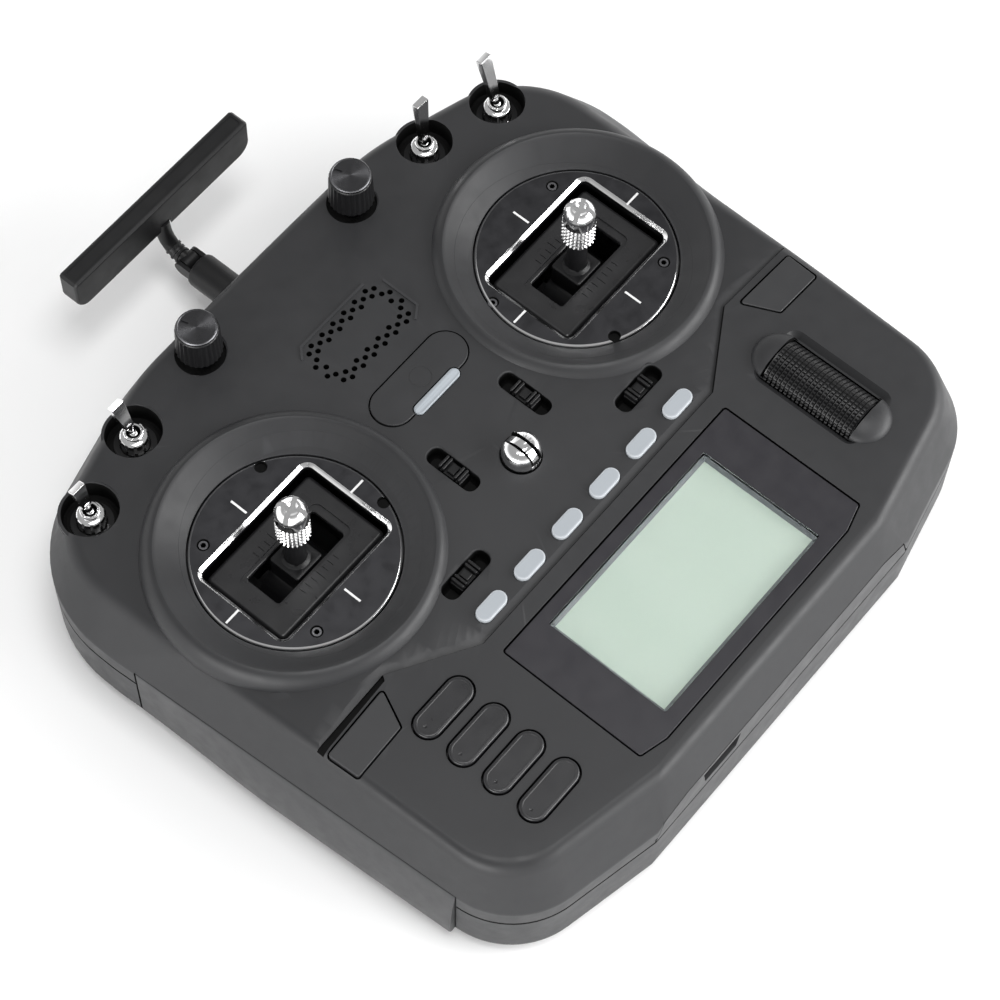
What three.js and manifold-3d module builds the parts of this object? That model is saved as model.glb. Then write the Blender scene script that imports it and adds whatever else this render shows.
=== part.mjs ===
// Radio transmitter controller for model aircraft: a handheld case with two stick gimbals,
// toggle switches, dials, a scroll roller, keys, trims, a display and a folding antenna.
// Millimetres. +Z is out of the face, +Y is towards the antenna, +X is the user's right.
// Shapes are drawn with the face of the keypad at z = 0, and the whole group is lifted at the end
// so that the rear feet stand on z = 0 and the bounding box is centred on the Z axis.
import * as THREE from 'three';
import { mergeVertices } from 'three/addons/utils/BufferGeometryUtils.js';
import Module from 'manifold-3d';

const wasm = await Module();
wasm.setup();

// ---------------------------------------------------------------- driving dimensions
const GAP = 0.3;                    // clearance between touching pieces
const WALL = 2.4;                   // case wall
const SKIN = 2.6;                   // thickness of the face
const SEAM_Z = -25;                 // parting line of the two shells
const BACK_Z = -47;                 // back of the rear shell
const FOOT_Z = -48;                 // rear feet, which the object lies on
const FOOT_OF_BEVEL = -18;          // lower edge of the sloping shoulder
const CROWN = 1.3;                  // rise of the face above the keypad
const FACE_MIDDLE_Y = -5;
const GIMBAL = { x: 62, y: 17.7 };
const PLATE = { r: 30, top: -2.9, thick: 2.4, halfX: 22.6, halfY: 15.6 };
const PIVOT_Z = -25;                // both stick axes
const STICK_TOP = 24.5;
const WELL = { r: 8.4, depth: 8 };
const SWITCH_PIVOT = 1.6;           // below the top of the bushing
const SWITCHES = [
  { name: 'a', x: -89.1, y: 70.3, length: 9, lean: 20 },
  { name: 'b', x: -63.6, y: 77.2, length: 10, lean: 28 },
  { name: 'c', x: 63.6, y: 77.2, length: 19, lean: 4 },
  { name: 'd', x: 89.1, y: 70.3, length: 18, lean: 16 },
];
const DIAL = { x: 33, y: 79.2, r: 6.9, top: 14, holeR: 7.5 };
const ROLLER = { x: 72, y: -63.8, z: -4.5, r: 8.4, length: 31 };
const LENS = { halfX: 49.1, top: -46.8, bottom: -96.5, thick: 2 };
const GLASS = { halfX: 34.5, top: -50.8, bottom: -91.8 };
const SHORTCUT = { pitch: 16.48, y: -35.75, length: 10.8, width: 5.1, count: 6 };
const KEY = { x: -72.4, length: 21, width: 8.3, top: -44.9, pitch: 12.3, travel: 0.8 };
const POWER = { y: 25.2, length: 36, width: 13 };
const FRONT_Y = -108.3;
const LIGHT = { y: 18.6, length: 18.4, width: 3.4 };
const TRIM_WELL = { length: 17.5, width: 5.6, depth: 5 };
const TRIMS = [
  { name: 'trim_left_vertical', x: -15.8, y: -0.8, along: 'y' },
  { name: 'trim_right_vertical', x: 15.8, y: -0.8, along: 'y' },
  { name: 'trim_left_horizontal', x: -38.2, y: -24.1, along: 'x' },
  { name: 'trim_right_horizontal', x: 38.2, y: -24.1, along: 'x' },
];
const HOOK = { y: -12.4, r: 5.8, height: 6.8 };
const ANTENNA = { z: -32.5, stubR: 5.5, stubEnd: 112.6, collarEnd: 117, neckR: 2.5, barY: 128.2 };
const BAR = { halfX: 37.6, thick: 7, top: -8.6, bottom: -22.6 };
const GRIP = { top: -18, bottom: -43, yLow: -78, yHigh: 32, depth: 2, bulge: 2.2 };
const STRIP = { halfTop: 44.5, halfMid: 54.6, halfLow: 57.4, zTop: -12.5, zMid: -15.9, thick: 1.8 };
const PORT_HINGE = { y: -107.2, z: -23.6 };
const DOOR = { halfX: 42, y0: -96, y1: -46, thick: 2 };
const BAY = { halfX: 25, y0: 8, y1: 66, depth: 14 };

// Corners of the face edge and of the outer wall, right half from top to bottom: x, y, radius, arc steps.
// Both lists have the same number of points, so that the shoulder is a straight loft between them.
const FACE_EDGE = [[51, 88, 80, 2], [105.1, 73.5, 29.3, 5], [104.6, 20, 60, 1], [101.2, -91.2, 22, 4],
  [51.5, -101.6, 0, 0], [50.2, -101.8, 0, 0], [49, -101.8, 0, 0]];
const WALL_EDGE = [[50, 94.5, 80, 2], [114.7, 77.1, 40, 5], [114.7, 40, 60, 1], [105.5, -97.6, 26, 4],
  [57.4, FRONT_Y, 0, 0], [54.6, FRONT_Y, 0, 0], [44.5, FRONT_Y, 0, 0]];

// ---------------------------------------------------------------- shape helpers
const clamp01 = (t) => Math.min(1, Math.max(0, t));
const smooth = (t) => clamp01(t) ** 2 * (3 - 2 * clamp01(t));

// Height of the case's face: flat at the keypad, and a shallow crown above it.
function faceZ(x, y) {
  const rise = smooth((y + 45) / 60);
  const fall = 0.0004 + 0.00016 * clamp01((y - 20) / 50);
  return rise * (CROWN - fall * x * x) - 2 * smooth((y - 62) / 27);
}

function toSolid(geometry) {
  const g = geometry.clone();
  for (const name of ['normal', 'uv']) g.deleteAttribute(name);
  const merged = mergeVertices(g, 1e-5);
  const mesh = new wasm.Mesh({
    numProp: 3,
    vertProperties: new Float32Array(merged.attributes.position.array),
    triVerts: new Uint32Array(merged.index.array),
  });
  return new wasm.Manifold(mesh);
}

function toGeometry(solid) {
  const mesh = solid.getMesh();
  const g = new THREE.BufferGeometry();
  g.setAttribute('position', new THREE.BufferAttribute(new Float32Array(mesh.vertProperties), 3));
  g.setIndex(new THREE.BufferAttribute(new Uint32Array(mesh.triVerts), 1));
  return g;
}

function join(...solids) {
  return solids.reduce((a, b) => a.add(b));
}

function cut(solid, ...tools) {
  return tools.reduce((a, b) => a.subtract(b), solid);
}

function box(x0, x1, y0, y1, z0, z1) {
  const g = new THREE.BoxGeometry(x1 - x0, y1 - y0, z1 - z0);
  g.translate((x0 + x1) / 2, (y0 + y1) / 2, (z0 + z1) / 2);
  return toSolid(g);
}

// A cylinder or cone that stands on z0, from radius r0 to radius r1 at z1.
function post(x, y, r0, z0, z1, steps = 24, r1 = r0) {
  const g = new THREE.CylinderGeometry(r1, r0, z1 - z0, steps);
  g.rotateX(Math.PI / 2);
  g.translate(x, y, (z0 + z1) / 2);
  return toSolid(g);
}

// A cylinder along X or Y.
function bar(axis, centre, r, length, steps = 24) {
  const g = new THREE.CylinderGeometry(r, r, length, steps);
  if (axis === 'x') g.rotateZ(Math.PI / 2);
  g.translate(...centre);
  return toSolid(g);
}

// A closed profile [radius, z] turned about the Z axis through (x, y).
function turned(x, y, profile, steps = 48) {
  const points = profile.map(([r, z]) => new THREE.Vector2(r, z));
  if (profile[0][0] > 0) points.push(points[0].clone());
  const g = new THREE.LatheGeometry(points, steps);
  g.rotateX(Math.PI / 2);
  g.translate(x, y, 0);
  const solid = toSolid(g);
  return solid.volume() < 0 ? toSolid(flipped(g)) : solid;
}

function flipped(geometry) {
  const g = geometry.clone();
  const index = g.index.array;
  for (let i = 0; i < index.length; i += 3) [index[i], index[i + 1]] = [index[i + 1], index[i]];
  return g;
}

function prism(points, z0, z1) {
  const shape = new THREE.Shape(points.map(([x, y]) => new THREE.Vector2(x, y)));
  const g = new THREE.ExtrudeGeometry(shape, { depth: z1 - z0, bevelEnabled: false });
  g.translate(0, 0, z0);
  return toSolid(g);
}

// Rounded rectangle round (x, y); a radius of half the width makes a stadium.
function rounded(x, y, halfX, halfY, r, steps = 3) {
  const points = [];
  const corners = [
    [halfX - r, halfY - r, 0],
    [r - halfX, halfY - r, 1],
    [r - halfX, r - halfY, 2],
    [halfX - r, r - halfY, 3],
  ];
  for (const [cx, cy, quarter] of corners) {
    for (let i = 0; i <= steps; i += 1) {
      const a = (quarter + i / steps) * Math.PI / 2;
      points.push([x + cx + r * Math.cos(a), y + cy + r * Math.sin(a)]);
    }
  }
  return points;
}

// A body through rings that have the same number of points, closed by a fan at each end.
function loft(rings) {
  const count = rings[0].length;
  const all = rings.flat();
  const index = [];
  for (let k = 0; k + 1 < rings.length; k += 1) {
    for (let i = 0; i < count; i += 1) {
      const a = k * count + i;
      const b = k * count + (i + 1) % count;
      index.push(a, b, a + count, b, b + count, a + count);
    }
  }
  for (const [ring, base, order] of [[rings[0], 0, 1], [rings.at(-1), (rings.length - 1) * count, -1]]) {
    const middle = ring.reduce((s, p) => s.map((v, i) => v + p[i] / count), [0, 0, 0]);
    const hub = all.push(middle) - 1;
    for (let i = 0; i < count; i += 1) {
      const pair = [base + i, base + (i + 1) % count];
      if (order > 0) pair.reverse();
      index.push(hub, ...pair);
    }
  }
  const g = new THREE.BufferGeometry();
  g.setAttribute('position', new THREE.BufferAttribute(new Float32Array(all.flat()), 3));
  g.setIndex(index);
  const solid = toSolid(g);
  return solid.volume() < 0 ? toSolid(flipped(g)) : solid;
}

// The whole outline from its right half: every corner is rounded, and the left half mirrors the right.
function outline(corners, inset = 0) {
  const left = corners.map(([x, y, r, n]) => [-x, y, r, n]).reverse();
  const all = [...corners, ...left];
  const moved = all.map(([x, y, r, n], i) => {
    const [ax, ay] = all[(i + all.length - 1) % all.length];
    const [bx, by] = all[(i + 1) % all.length];
    const u = new THREE.Vector2(x - ax, y - ay).normalize();
    const v = new THREE.Vector2(bx - x, by - y).normalize();
    const bisector = new THREE.Vector2(u.y + v.y, -u.x - v.x).normalize();
    const reach = inset / Math.sqrt((1 + u.dot(v)) / 2);
    return [x + bisector.x * reach, y + bisector.y * reach, Math.max(0, r - inset), n];
  });
  const points = [];
  moved.forEach(([x, y, r, n], i) => {
    if (n === 0) {
      points.push([x, y]);
      return;
    }
    const p = new THREE.Vector2(x, y);
    const a = new THREE.Vector2(...moved[(i + moved.length - 1) % moved.length]).sub(p).normalize();
    const b = new THREE.Vector2(...moved[(i + 1) % moved.length]).sub(p).normalize();
    const half = Math.acos(clampCos(a.dot(b))) / 2;
    const towards = a.clone().add(b).normalize();
    const centre = p.clone().addScaledVector(towards, r / Math.sin(half));
    const from = p.clone().addScaledVector(a, r / Math.tan(half)).sub(centre);
    const turn = -(Math.PI - 2 * half);
    for (let k = 0; k <= n; k += 1) {
      const q = from.clone().rotateAround(new THREE.Vector2(), turn * k / n).add(centre);
      points.push([q.x, q.y]);
    }
  });
  return points;
}

function clampCos(c) {
  return Math.min(1, Math.max(-1, c));
}

// Lower edge of the shoulder: higher along the middle of the front wall, over the port cover.
function bevelFoot([x, y]) {
  if (y > -104) return FOOT_OF_BEVEL;
  const side = Math.abs(x);
  if (side <= STRIP.halfTop + 0.1) return STRIP.zTop;
  if (side <= STRIP.halfMid + 0.1) return STRIP.zMid;
  return FOOT_OF_BEVEL;
}

// ---------------------------------------------------------------- case
// Rings of the upper case body, from the middle of the face out to the shoulder and down to z = bottom.
function upperBody(inset, drop, bottom, scales) {
  const edge = outline(FACE_EDGE, inset * 1.3);
  const face = scales.map((k) => edge.map(([ex, ey]) => {
    const x = ex * k;
    const y = FACE_MIDDLE_Y + (ey - FACE_MIDDLE_Y) * k;
    return [x, y, faceZ(x, y) - drop];
  }));
  const outer = outline(WALL_EDGE);
  const inner = outline(WALL_EDGE, inset);
  const shoulder = inner.map(([x, y], i) => [x, y, bevelFoot(outer[i]) - drop * 0.3]);
  const wall = inner.map(([x, y]) => [x, y, bottom]);
  return loft([...face, shoulder, wall]);
}

// The grip on one side: stations along Y, each a thin section that follows the wall and bulges a little.
function gripBody(side, extra = 0) {
  const stations = 5;
  const rings = [];
  for (let i = 0; i <= stations; i += 1) {
    const t = i / stations;
    const y = GRIP.yLow - extra + t * (GRIP.yHigh - GRIP.yLow + 2 * extra);
    const wallX = 105.5 + (114.7 - 105.5) * (y + 97.6) / 137.6 - (y > 20 ? (y - 20) * 0.01 : 0);
    const swell = GRIP.bulge * smooth((GRIP.yHigh - y) / 50);
    const inner = wallX - GRIP.depth - extra;
    const top = GRIP.top + extra;
    const bottom = GRIP.bottom - extra;
    const height = top - bottom;
    const ring = [[inner, top], [inner, bottom]];
    for (const [part, out] of [[0, 0.85], [0.12, 1], [0.4, 0.85], [0.7, 0.45], [1, 0.05]]) {
      ring.push([wallX + 0.1 + swell * out + extra, bottom + part * height]);
    }
    rings.push(ring.map(([x, z]) => [side * x, y, z]));
  }
  return loft(rings);
}

// The raised rim round a gimbal, with a dish that slopes down to the gimbal plate.
function gimbalRim(side) {
  const x = side * GIMBAL.x;
  const profile = [[28, -5.2], [43.2, -5.2], [43.2, -2.2], [41.4, 2.2], [40.2, 3.2], [28, 3.2]];
  return turned(x, GIMBAL.y, profile, 40);
}

function gimbalDish(side) {
  const hole = PLATE.r + 0.4;
  const profile = [[0, -20], [hole, -20], [hole, -3.4], [38, 2.7], [38.7, 9], [0, 9]];
  return turned(side * GIMBAL.x, GIMBAL.y, profile, 40);
}

function lensOutline(margin) {
  const { halfX, top, bottom } = LENS;
  const x = halfX + margin;
  const low = bottom - margin;
  const cornerX = 40.5 + margin / 2;
  const points = [[-x, top + margin], [-x, bottom + 2.3], [-cornerX, low], [cornerX, low]];
  points.push([x, bottom + 2.3], [x, top + margin]);
  return points;
}

// Trapezoid of a corner key: wide along the top, cut back on the side that faces the display.
function cornerKeyOutline(side, margin) {
  const along = [[103.2, -29.4], [79.2, -28.8]];
  const points = [...along, [83.6, -39.3], [84.6, -40.2], [101.9, -40.6], [103, -39.6]];
  const cx = 93;
  const cy = -34.8;
  return points.map(([x, y]) => [side * (x + Math.sign(x - cx) * margin), y + Math.sign(y - cy) * margin]);
}

function shortcutX(i) {
  return (i - (SHORTCUT.count - 1) / 2) * SHORTCUT.pitch;
}

function keyY(i) {
  return KEY.top - i * KEY.pitch;
}

function trimOutline(trim, length, width) {
  const r = Math.min(length, width) / 2 - 0.4;
  const [hx, hy] = trim.along === 'x' ? [length / 2, width / 2] : [width / 2, length / 2];
  return rounded(trim.x, trim.y, hx, hy, r, 2);
}

function stripOutline(margin, low = SEAM_Z + 0.4) {
  const { halfTop, halfMid, halfLow, zTop, zMid } = STRIP;
  const flare = (SEAM_Z + 0.4 - low) * (halfLow - halfMid) / (zMid - SEAM_Z);
  const top = [[halfTop + margin, zTop + margin], [halfMid + margin, zMid + margin]];
  const right = [...top, [halfLow + margin + flare, low]];
  const left = right.map(([x, z]) => [-x, z]).reverse();
  return [...right, ...left];
}

// A flat plate that stands in the front wall: its outline is in X and Z, and it runs from y0 back to y1.
function wallPlate(points, y0, y1) {
  const flat = prism(points.map(([x, z]) => [x, z]), 0, y1 - y0);
  return flat.rotate([90, 0, 0]).translate([0, y1, 0]);
}

function makeFrontShell() {
  let shell = upperBody(0, 0, SEAM_Z + GAP / 2, [0.3, 0.6, 0.82, 1]);
  const outside = shell;
  shell = cut(shell, upperBody(WALL + 0.1, SKIN, SEAM_Z - 5, [0.6, 1]));
  // thicker places: gimbal rims, switch and dial cups, the frame under the lens, the roller's pocket
  for (const side of [-1, 1]) shell = shell.add(gimbalRim(side));
  for (const s of SWITCHES) shell = shell.add(post(s.x, s.y, 9.9, -16, -2, 16).intersect(outside));
  for (const side of [-1, 1]) {
    shell = shell.add(post(side * DIAL.x, DIAL.y, 9, -5.5, 0, 16).intersect(outside));
  }
  shell = shell.add(prism(lensOutline(1.8), -4.6, -1));
  shell = shell.add(box(60.5, 82.5, -85, -42, -15.5, -1));
  shell = shell.add(box(-60, 60, -106.5, -97.5, -24.6, -3).intersect(outside));
  for (const t of TRIMS) shell = shell.add(prism(trimOutline(t, 20, 8), -6.5, -1));
  for (const side of [-1, 1]) {
    const grip = box(side > 0 ? 99 : -108, side > 0 ? 108 : -99, -84, 38, -24.6, -12);
    shell = shell.add(grip.intersect(outside));
  }
  // openings
  const through = [];
  for (const side of [-1, 1]) {
    through.push(gimbalDish(side));
    through.push(post(side * DIAL.x, DIAL.y, DIAL.holeR, -3.5, 6, 20));
    through.push(post(side * DIAL.x, DIAL.y, 3.8, -8, 6, 12));
    through.push(gripBody(side, GAP));
    through.push(prism(cornerKeyOutline(side, GAP), -6, 6));
    through.push(prism(cornerKeyOutline(side, 1.2), -9, -3.6));
  }
  for (const s of SWITCHES) {
    const rim = faceZ(s.x, s.y);
    through.push(post(s.x, s.y, WELL.r, rim - WELL.depth, 8, 20));
    through.push(post(s.x, s.y, 3.3, -30, 0, 12));
  }
  through.push(prism(lensOutline(GAP), -2.3, 5));
  through.push(box(-GLASS.halfX - 1, GLASS.halfX + 1, GLASS.bottom - 1, GLASS.top + 1, -6, 1));
  through.push(prism(powerOutline(GAP, POWER.width / 2), -6, 6));
  through.push(prism(lightOutline(GAP, LIGHT.width / 2), -6, 6));
  for (let i = 0; i < SHORTCUT.count; i += 1) {
    const x = shortcutX(i);
    const opening = rounded(x, SHORTCUT.y, SHORTCUT.length / 2 + GAP, SHORTCUT.width / 2 + GAP, 2.6);
    through.push(prism(opening, -6, 6));
  }
  for (let i = 0; i < 4; i += 1) {
    through.push(prism(rounded(KEY.x, keyY(i), KEY.length / 2 + GAP, KEY.width / 2 + GAP, 4.2), -6, 6));
  }
  for (const t of TRIMS) {
    through.push(prism(trimOutline(t, TRIM_WELL.length, TRIM_WELL.width), -5, 6));
    through.push(t.along === 'x' ? box(t.x - 4, t.x + 4, t.y - 1.6, t.y + 1.6, -8, 1)
      : box(t.x - 1.6, t.x + 1.6, t.y - 4, t.y + 4, -8, 1));
  }
  through.push(post(0, HOOK.y, HOOK.r + GAP, -0.6, 6, 32), post(0, HOOK.y, 2.5, -8, 3, 20));
  through.push(bar('y', [ROLLER.x, ROLLER.y, ROLLER.z], ROLLER.r + 0.5, ROLLER.length + 1, 28));
  through.push(box(62, 81.5, ROLLER.y - 15.8, ROLLER.y + 15.8, -1.5, 2));
  through.push(bar('y', [ROLLER.x, ROLLER.y, ROLLER.z], 1.6, ROLLER.length + 6, 16));
  through.push(wallPlate(stripOutline(GAP, SEAM_Z - 1), -110, FRONT_Y + STRIP.thick + GAP));
  through.push(box(-50, 50, -107, -97, -22.6, -14.8));
  // room for the port cover's lower edge as it swings in
  through.push(portHinge(1.6, 2 * STRIP.halfLow + 1));
  return cut(shell, ...through);
}

function makeRearShell() {
  const ring = (inset, z) => outline(WALL_EDGE, inset).map(([x, y]) => [x, y, z]);
  let shell = loft([ring(0, SEAM_Z - GAP / 2), ring(0, -42.5), ring(1.2, -45.2), ring(4.5, BACK_Z)]);
  shell = cut(shell, loft([ring(WALL, SEAM_Z + 5), ring(WALL, -41.5), ring(5.5, BACK_Z + WALL)]));
  // the wall behind each grip, the battery frame and the bay for a plug-in radio module
  for (const side of [-1, 1]) {
    shell = shell.add(box(side > 0 ? 99 : -107.5, side > 0 ? 107.5 : -99, -84, 38, -44.8, SEAM_Z - 0.4)
      .intersect(loft([ring(0, SEAM_Z - GAP / 2), ring(0, -42.5), ring(4.5, BACK_Z)])));
  }
  const bayX = BAY.halfX + WALL;
  shell = shell.add(box(-bayX, bayX, BAY.y0 - WALL, BAY.y1 + WALL, BACK_Z + 0.2, -29));
  shell = shell.add(box(-10, 10, 82, 93, -41, SEAM_Z - 0.4));
  const doorHole = rounded(0, (DOOR.y0 + DOOR.y1) / 2, DOOR.halfX + GAP, (DOOR.y1 - DOOR.y0) / 2 + GAP, 4);
  const bayY = (BAY.y0 + BAY.y1) / 2;
  const bayHalf = (BAY.y1 - BAY.y0) / 2;
  const seat = 1.5 + GAP;
  const bayHole = rounded(0, bayY, BAY.halfX, bayHalf, 2.5);
  const coverSeat = rounded(0, bayY, BAY.halfX + seat, bayHalf + seat, 3.5);
  const antennaShaft = bar('y', [0, 96, ANTENNA.z], 3.4, 40, 24);
  const antennaSeat = bar('y', [0, 100, ANTENNA.z], ANTENNA.stubR + GAP, 16, 32);
  shell = cut(shell, prism(doorHole, -50, -40), prism(bayHole, -50, BACK_Z + BAY.depth));
  shell = cut(shell, prism(coverSeat, -50, -44.9), antennaShaft, antennaSeat);
  for (const side of [-1, 1]) {
    shell = cut(shell, gripBody(side, GAP), prism(footOutline(side, GAP), -50, -46.2));
  }
  return shell;
}

function footOutline(side, margin) {
  return rounded(side * 68, -8, 5 + margin, 42 + margin, 4.5 + margin, 5);
}

function makeFoot(side) {
  return prism(footOutline(side, 0), FOOT_Z, -46.5);
}

// The port cover's hinge pin, along its lower edge.
function portHinge(r, length) {
  return bar('x', [0, PORT_HINGE.y, PORT_HINGE.z], r, length, 12);
}

function makePortCover() {
  const cover = wallPlate(stripOutline(0), FRONT_Y, FRONT_Y + STRIP.thick).add(portHinge(0.9, 96));
  // the opening for the charging plug
  const notch = wallPlate([[-21, -14.2], [-22.4, -21.3], [-36.1, -21.3], [-37.5, -14.2]], -110, -104);
  return cut(cover, notch);
}

// Circuit board behind the cover, with a charging socket, a card slot and a trainer jack.
function makePortBoard() {
  const board = box(-46, 46, -105, -98, -21.5, -20);
  const usbOutline = rounded(-29.2, -117.8, 4.5, 1.6, 1.5, 4);
  const usb = prism(usbOutline, 0, 6).rotate([90, 0, 0]).translate([0, -99, 101.2]);
  const card = box(-14, 0, -105.6, -98.5, -20.2, -17.6);
  const jack = box(26, 36, -105.8, -98.5, -20.2, -15.9);
  const jackHole = bar('y', [31, -105, -18.1], 1.5, 6, 16);
  const foot = box(-33.7, -24.7, -105, -99, -20.2, -17.6);
  const socket = cut(usb, box(-32.7, -25.7, -106, -102.5, -17.1, -16.5));
  return join(board, socket, foot, card, cut(jack, jackHole));
}

function makeBatteryDoor() {
  const cy = (DOOR.y0 + DOOR.y1) / 2;
  const half = (DOOR.y1 - DOOR.y0) / 2;
  const panel = prism(rounded(0, cy, DOOR.halfX, half, 3.7), BACK_Z, BACK_Z + DOOR.thick);
  const ribs = [];
  for (let i = 0; i < 5; i += 1) {
    const y = DOOR.y1 - 14 + i * 2;
    ribs.push(box(-9, 9, y, y + 1, -47.5, -46.9));
  }
  return join(panel, ...ribs);
}

function makeBatteryPack() {
  const cells = [-81.5, -60.5].map((y) => bar('x', [0, y, -34.6], 9.1, 65, 20));
  const tray = box(-37, 37, -92, -50, -44.4, -34.6);
  const room = box(-33, 33, -90.8, -51.2, -43.4, -30);
  const ends = [-1, 1].map((side) => box(side > 0 ? 32 : -37, side > 0 ? 37 : -32, -92, -50, -42, -30));
  return join(cut(tray, room), ...cells, ...ends);
}

function makeModuleCover() {
  const cy = (BAY.y0 + BAY.y1) / 2;
  const half = (BAY.y1 - BAY.y0) / 2;
  const panel = prism(rounded(0, cy, BAY.halfX + 1.5, half + 1.5, 3.2), BACK_Z, -45.2);
  const lip = prism(rounded(0, cy, BAY.halfX - GAP, half - GAP, 2.2), -45.4, -43.2);
  const inside = prism(rounded(0, cy, BAY.halfX - 2, half - 2, 1), -45.3, -40);
  return join(panel, cut(lip, inside));
}

// ---------------------------------------------------------------- gimbals
function makeGimbalPlate(side) {
  const x = side * GIMBAL.x;
  const bottom = PLATE.top - PLATE.thick;
  const rim = 0.7;
  const edge = [[PLATE.r, bottom], [PLATE.r, PLATE.top - rim], [PLATE.r - rim, PLATE.top]];
  const profile = [[0, bottom], ...edge, [0, PLATE.top]];
  const plate = turned(x, GIMBAL.y, profile, 40);
  const opening = (out) => rounded(x, GIMBAL.y, PLATE.halfX + out, PLATE.halfY + out, 2.2 + out, 3);
  const ring = (out) => opening(out).map(([px, py]) => [px, py, PLATE.top - rim + out]);
  const slope = loft([ring(0), ring(rim)]);
  const upper = prism(opening(rim), PLATE.top, 2);
  return cut(plate, prism(opening(0), -9, 2), slope, upper);
}

function makeGimbalFrame(side) {
  const x = side * GIMBAL.x;
  const top = PLATE.top - PLATE.thick - GAP;
  const outer = prism(rounded(x, GIMBAL.y, 26.5, 25.5, 5, 4), -37.5, top);
  const inner = prism(rounded(x, GIMBAL.y, 24.3, 23.3, 3, 4), -50, top - 1.8);
  const opening = prism(rounded(x, GIMBAL.y, 23.2, 18.5, 2, 4), -9, 2);
  const axle = bar('x', [x, GIMBAL.y, PIVOT_Z], 2.3, 60, 16);
  return cut(outer, inner, opening, axle);
}

// The rocking cradle: its top is the panel round the stick's slot, and it turns about X.
function makeGimbalYoke(side) {
  const x = side * GIMBAL.x;
  const half = [[14.4, -22], [14.4, -10.4], [13.3, -7.6], [11.2, -6.2]];
  const section = [...half.map(([y, z]) => [-y, z]), ...half.slice().reverse()];
  const slice = (dx, points) => points.map(([y, z]) => [x + dx, GIMBAL.y + y, z]);
  const along = (reach, points) => loft([slice(-reach, points), slice(reach, points)]);
  const shell = along(21.6, section);
  const under = [[12.4, -30], [12.4, -10.6], [10.9, -8.2]];
  const room = along(19.6, [...under.map(([y, z]) => [-y, z]), ...under.slice().reverse()]);
  const slot = prism(rounded(x, GIMBAL.y, 14, 6, 1, 3), -12, 2);
  const arms = [-1, 1].map((s) => {
    const x0 = x + s * 20.6 - 1;
    return join(box(x0, x0 + 2, GIMBAL.y - 6, GIMBAL.y + 6, -28.5, -15),
      bar('x', [x + s * 23, GIMBAL.y, PIVOT_Z], 2, 6.4, 16));
  });
  const bearings = [-1, 1].map((s) => {
    const y0 = GIMBAL.y + s * 12.2 - 1;
    return box(x - 5, x + 5, y0, y0 + 2, -29, -15);
  });
  const pinHole = bar('y', [x, GIMBAL.y, PIVOT_Z], 2.3, 40, 16);
  return cut(join(cut(shell, room, slot), ...arms, ...bearings), pinHole);
}

// Hub, skirt and tapered stem of one stick; the hub turns about Y in the cradle.
function makeStick(side) {
  const x = side * GIMBAL.x;
  const hub = bar('y', [x, GIMBAL.y, PIVOT_Z], 12, 10.6, 28).intersect(box(x - 13, x + 13, 0, 40, -31, -5));
  const skirt = box(x - 5.4, x + 5.4, GIMBAL.y - 5.3, GIMBAL.y + 5.3, -16, -6.6);
  const pin = bar('y', [x, GIMBAL.y, PIVOT_Z], 2, 26.6, 12);
  const stemProfile = [[0, -10], [4.4, -10], [4.4, -6.4], [3.2, -1], [2.9, 5.7], [0, 5.7]];
  const stem = turned(x, GIMBAL.y, stemProfile, 16);
  return join(hub, skirt, pin, stem);
}

// The turned metal end, with a crown of four prongs.
function makeStickEnd(side) {
  const x = side * GIMBAL.x;
  const crown = [[5, STICK_TOP - 0.8], [4.4, STICK_TOP], [0, STICK_TOP]];
  const body = turned(x, GIMBAL.y, [[0, 6], [3.5, 6], [4.3, 8.4], [5, 11.5], ...crown], 18);
  const dip = [[0, STICK_TOP - 2.6], [1.6, STICK_TOP - 2.4], [3.4, STICK_TOP + 1], [0, STICK_TOP + 1]];
  const bowl = turned(x, GIMBAL.y, dip, 12);
  const cross = [0, 90].map((a) => box(-8, 8, -0.9, 0.9, STICK_TOP - 1.8, STICK_TOP + 2)
    .rotate([0, 0, a + 45]).translate([x, GIMBAL.y, 0]));
  return cut(body, bowl, ...cross);
}

// ---------------------------------------------------------------- switches, dials, roller
function switchTop(s) {
  return faceZ(s.x, s.y) - 0.4;
}

function makeSwitchBody(s) {
  const top = switchTop(s);
  const floor = faceZ(s.x, s.y) - WELL.depth;
  const bushProfile = [[0, floor - 14], [3, floor - 14], [3, top - 0.5], [2.7, top], [0, top]];
  const bush = turned(s.x, s.y, bushProfile, 14);
  const nutTop = [[4.3, top - 2.2], [3.6, top - 1.5], [0, top - 1.5]];
  const nutProfile = [[0, floor + 0.2], [4.3, floor + 0.2], ...nutTop];
  const nut = turned(s.x, s.y, nutProfile, 10);
  const can = box(s.x - 4.2, s.x + 4.2, s.y - 4.2, s.y + 4.2, floor - 22, floor - 12);
  const bore = post(s.x, s.y, 2.3, top - 7, top + 1, 14);
  return cut(join(bush, nut, can), bore);
}

function makeSwitchLever(s) {
  const ballZ = switchTop(s) - SWITCH_PIVOT;
  const ball = new THREE.SphereGeometry(1.7, 10, 6);
  const stem = post(0, 0, 1.1, 0, 4.2, 8);
  const w0 = 1.6;
  const w1 = 2.4;
  const ring = (w, t, z) => [[w, t, z], [-w, t, z], [-w, -t, z], [w, -t, z]];
  const tip = s.length + 2.4;
  const paddle = loft([ring(w0, 0.8, 3.2), ring(w1, 1.2, tip - 0.6), ring(w1 - 0.3, 0.9, tip)]);
  return join(toSolid(ball), stem, paddle).rotate([-s.lean, 0, 0]).translate([s.x, s.y, ballZ]);
}

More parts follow.
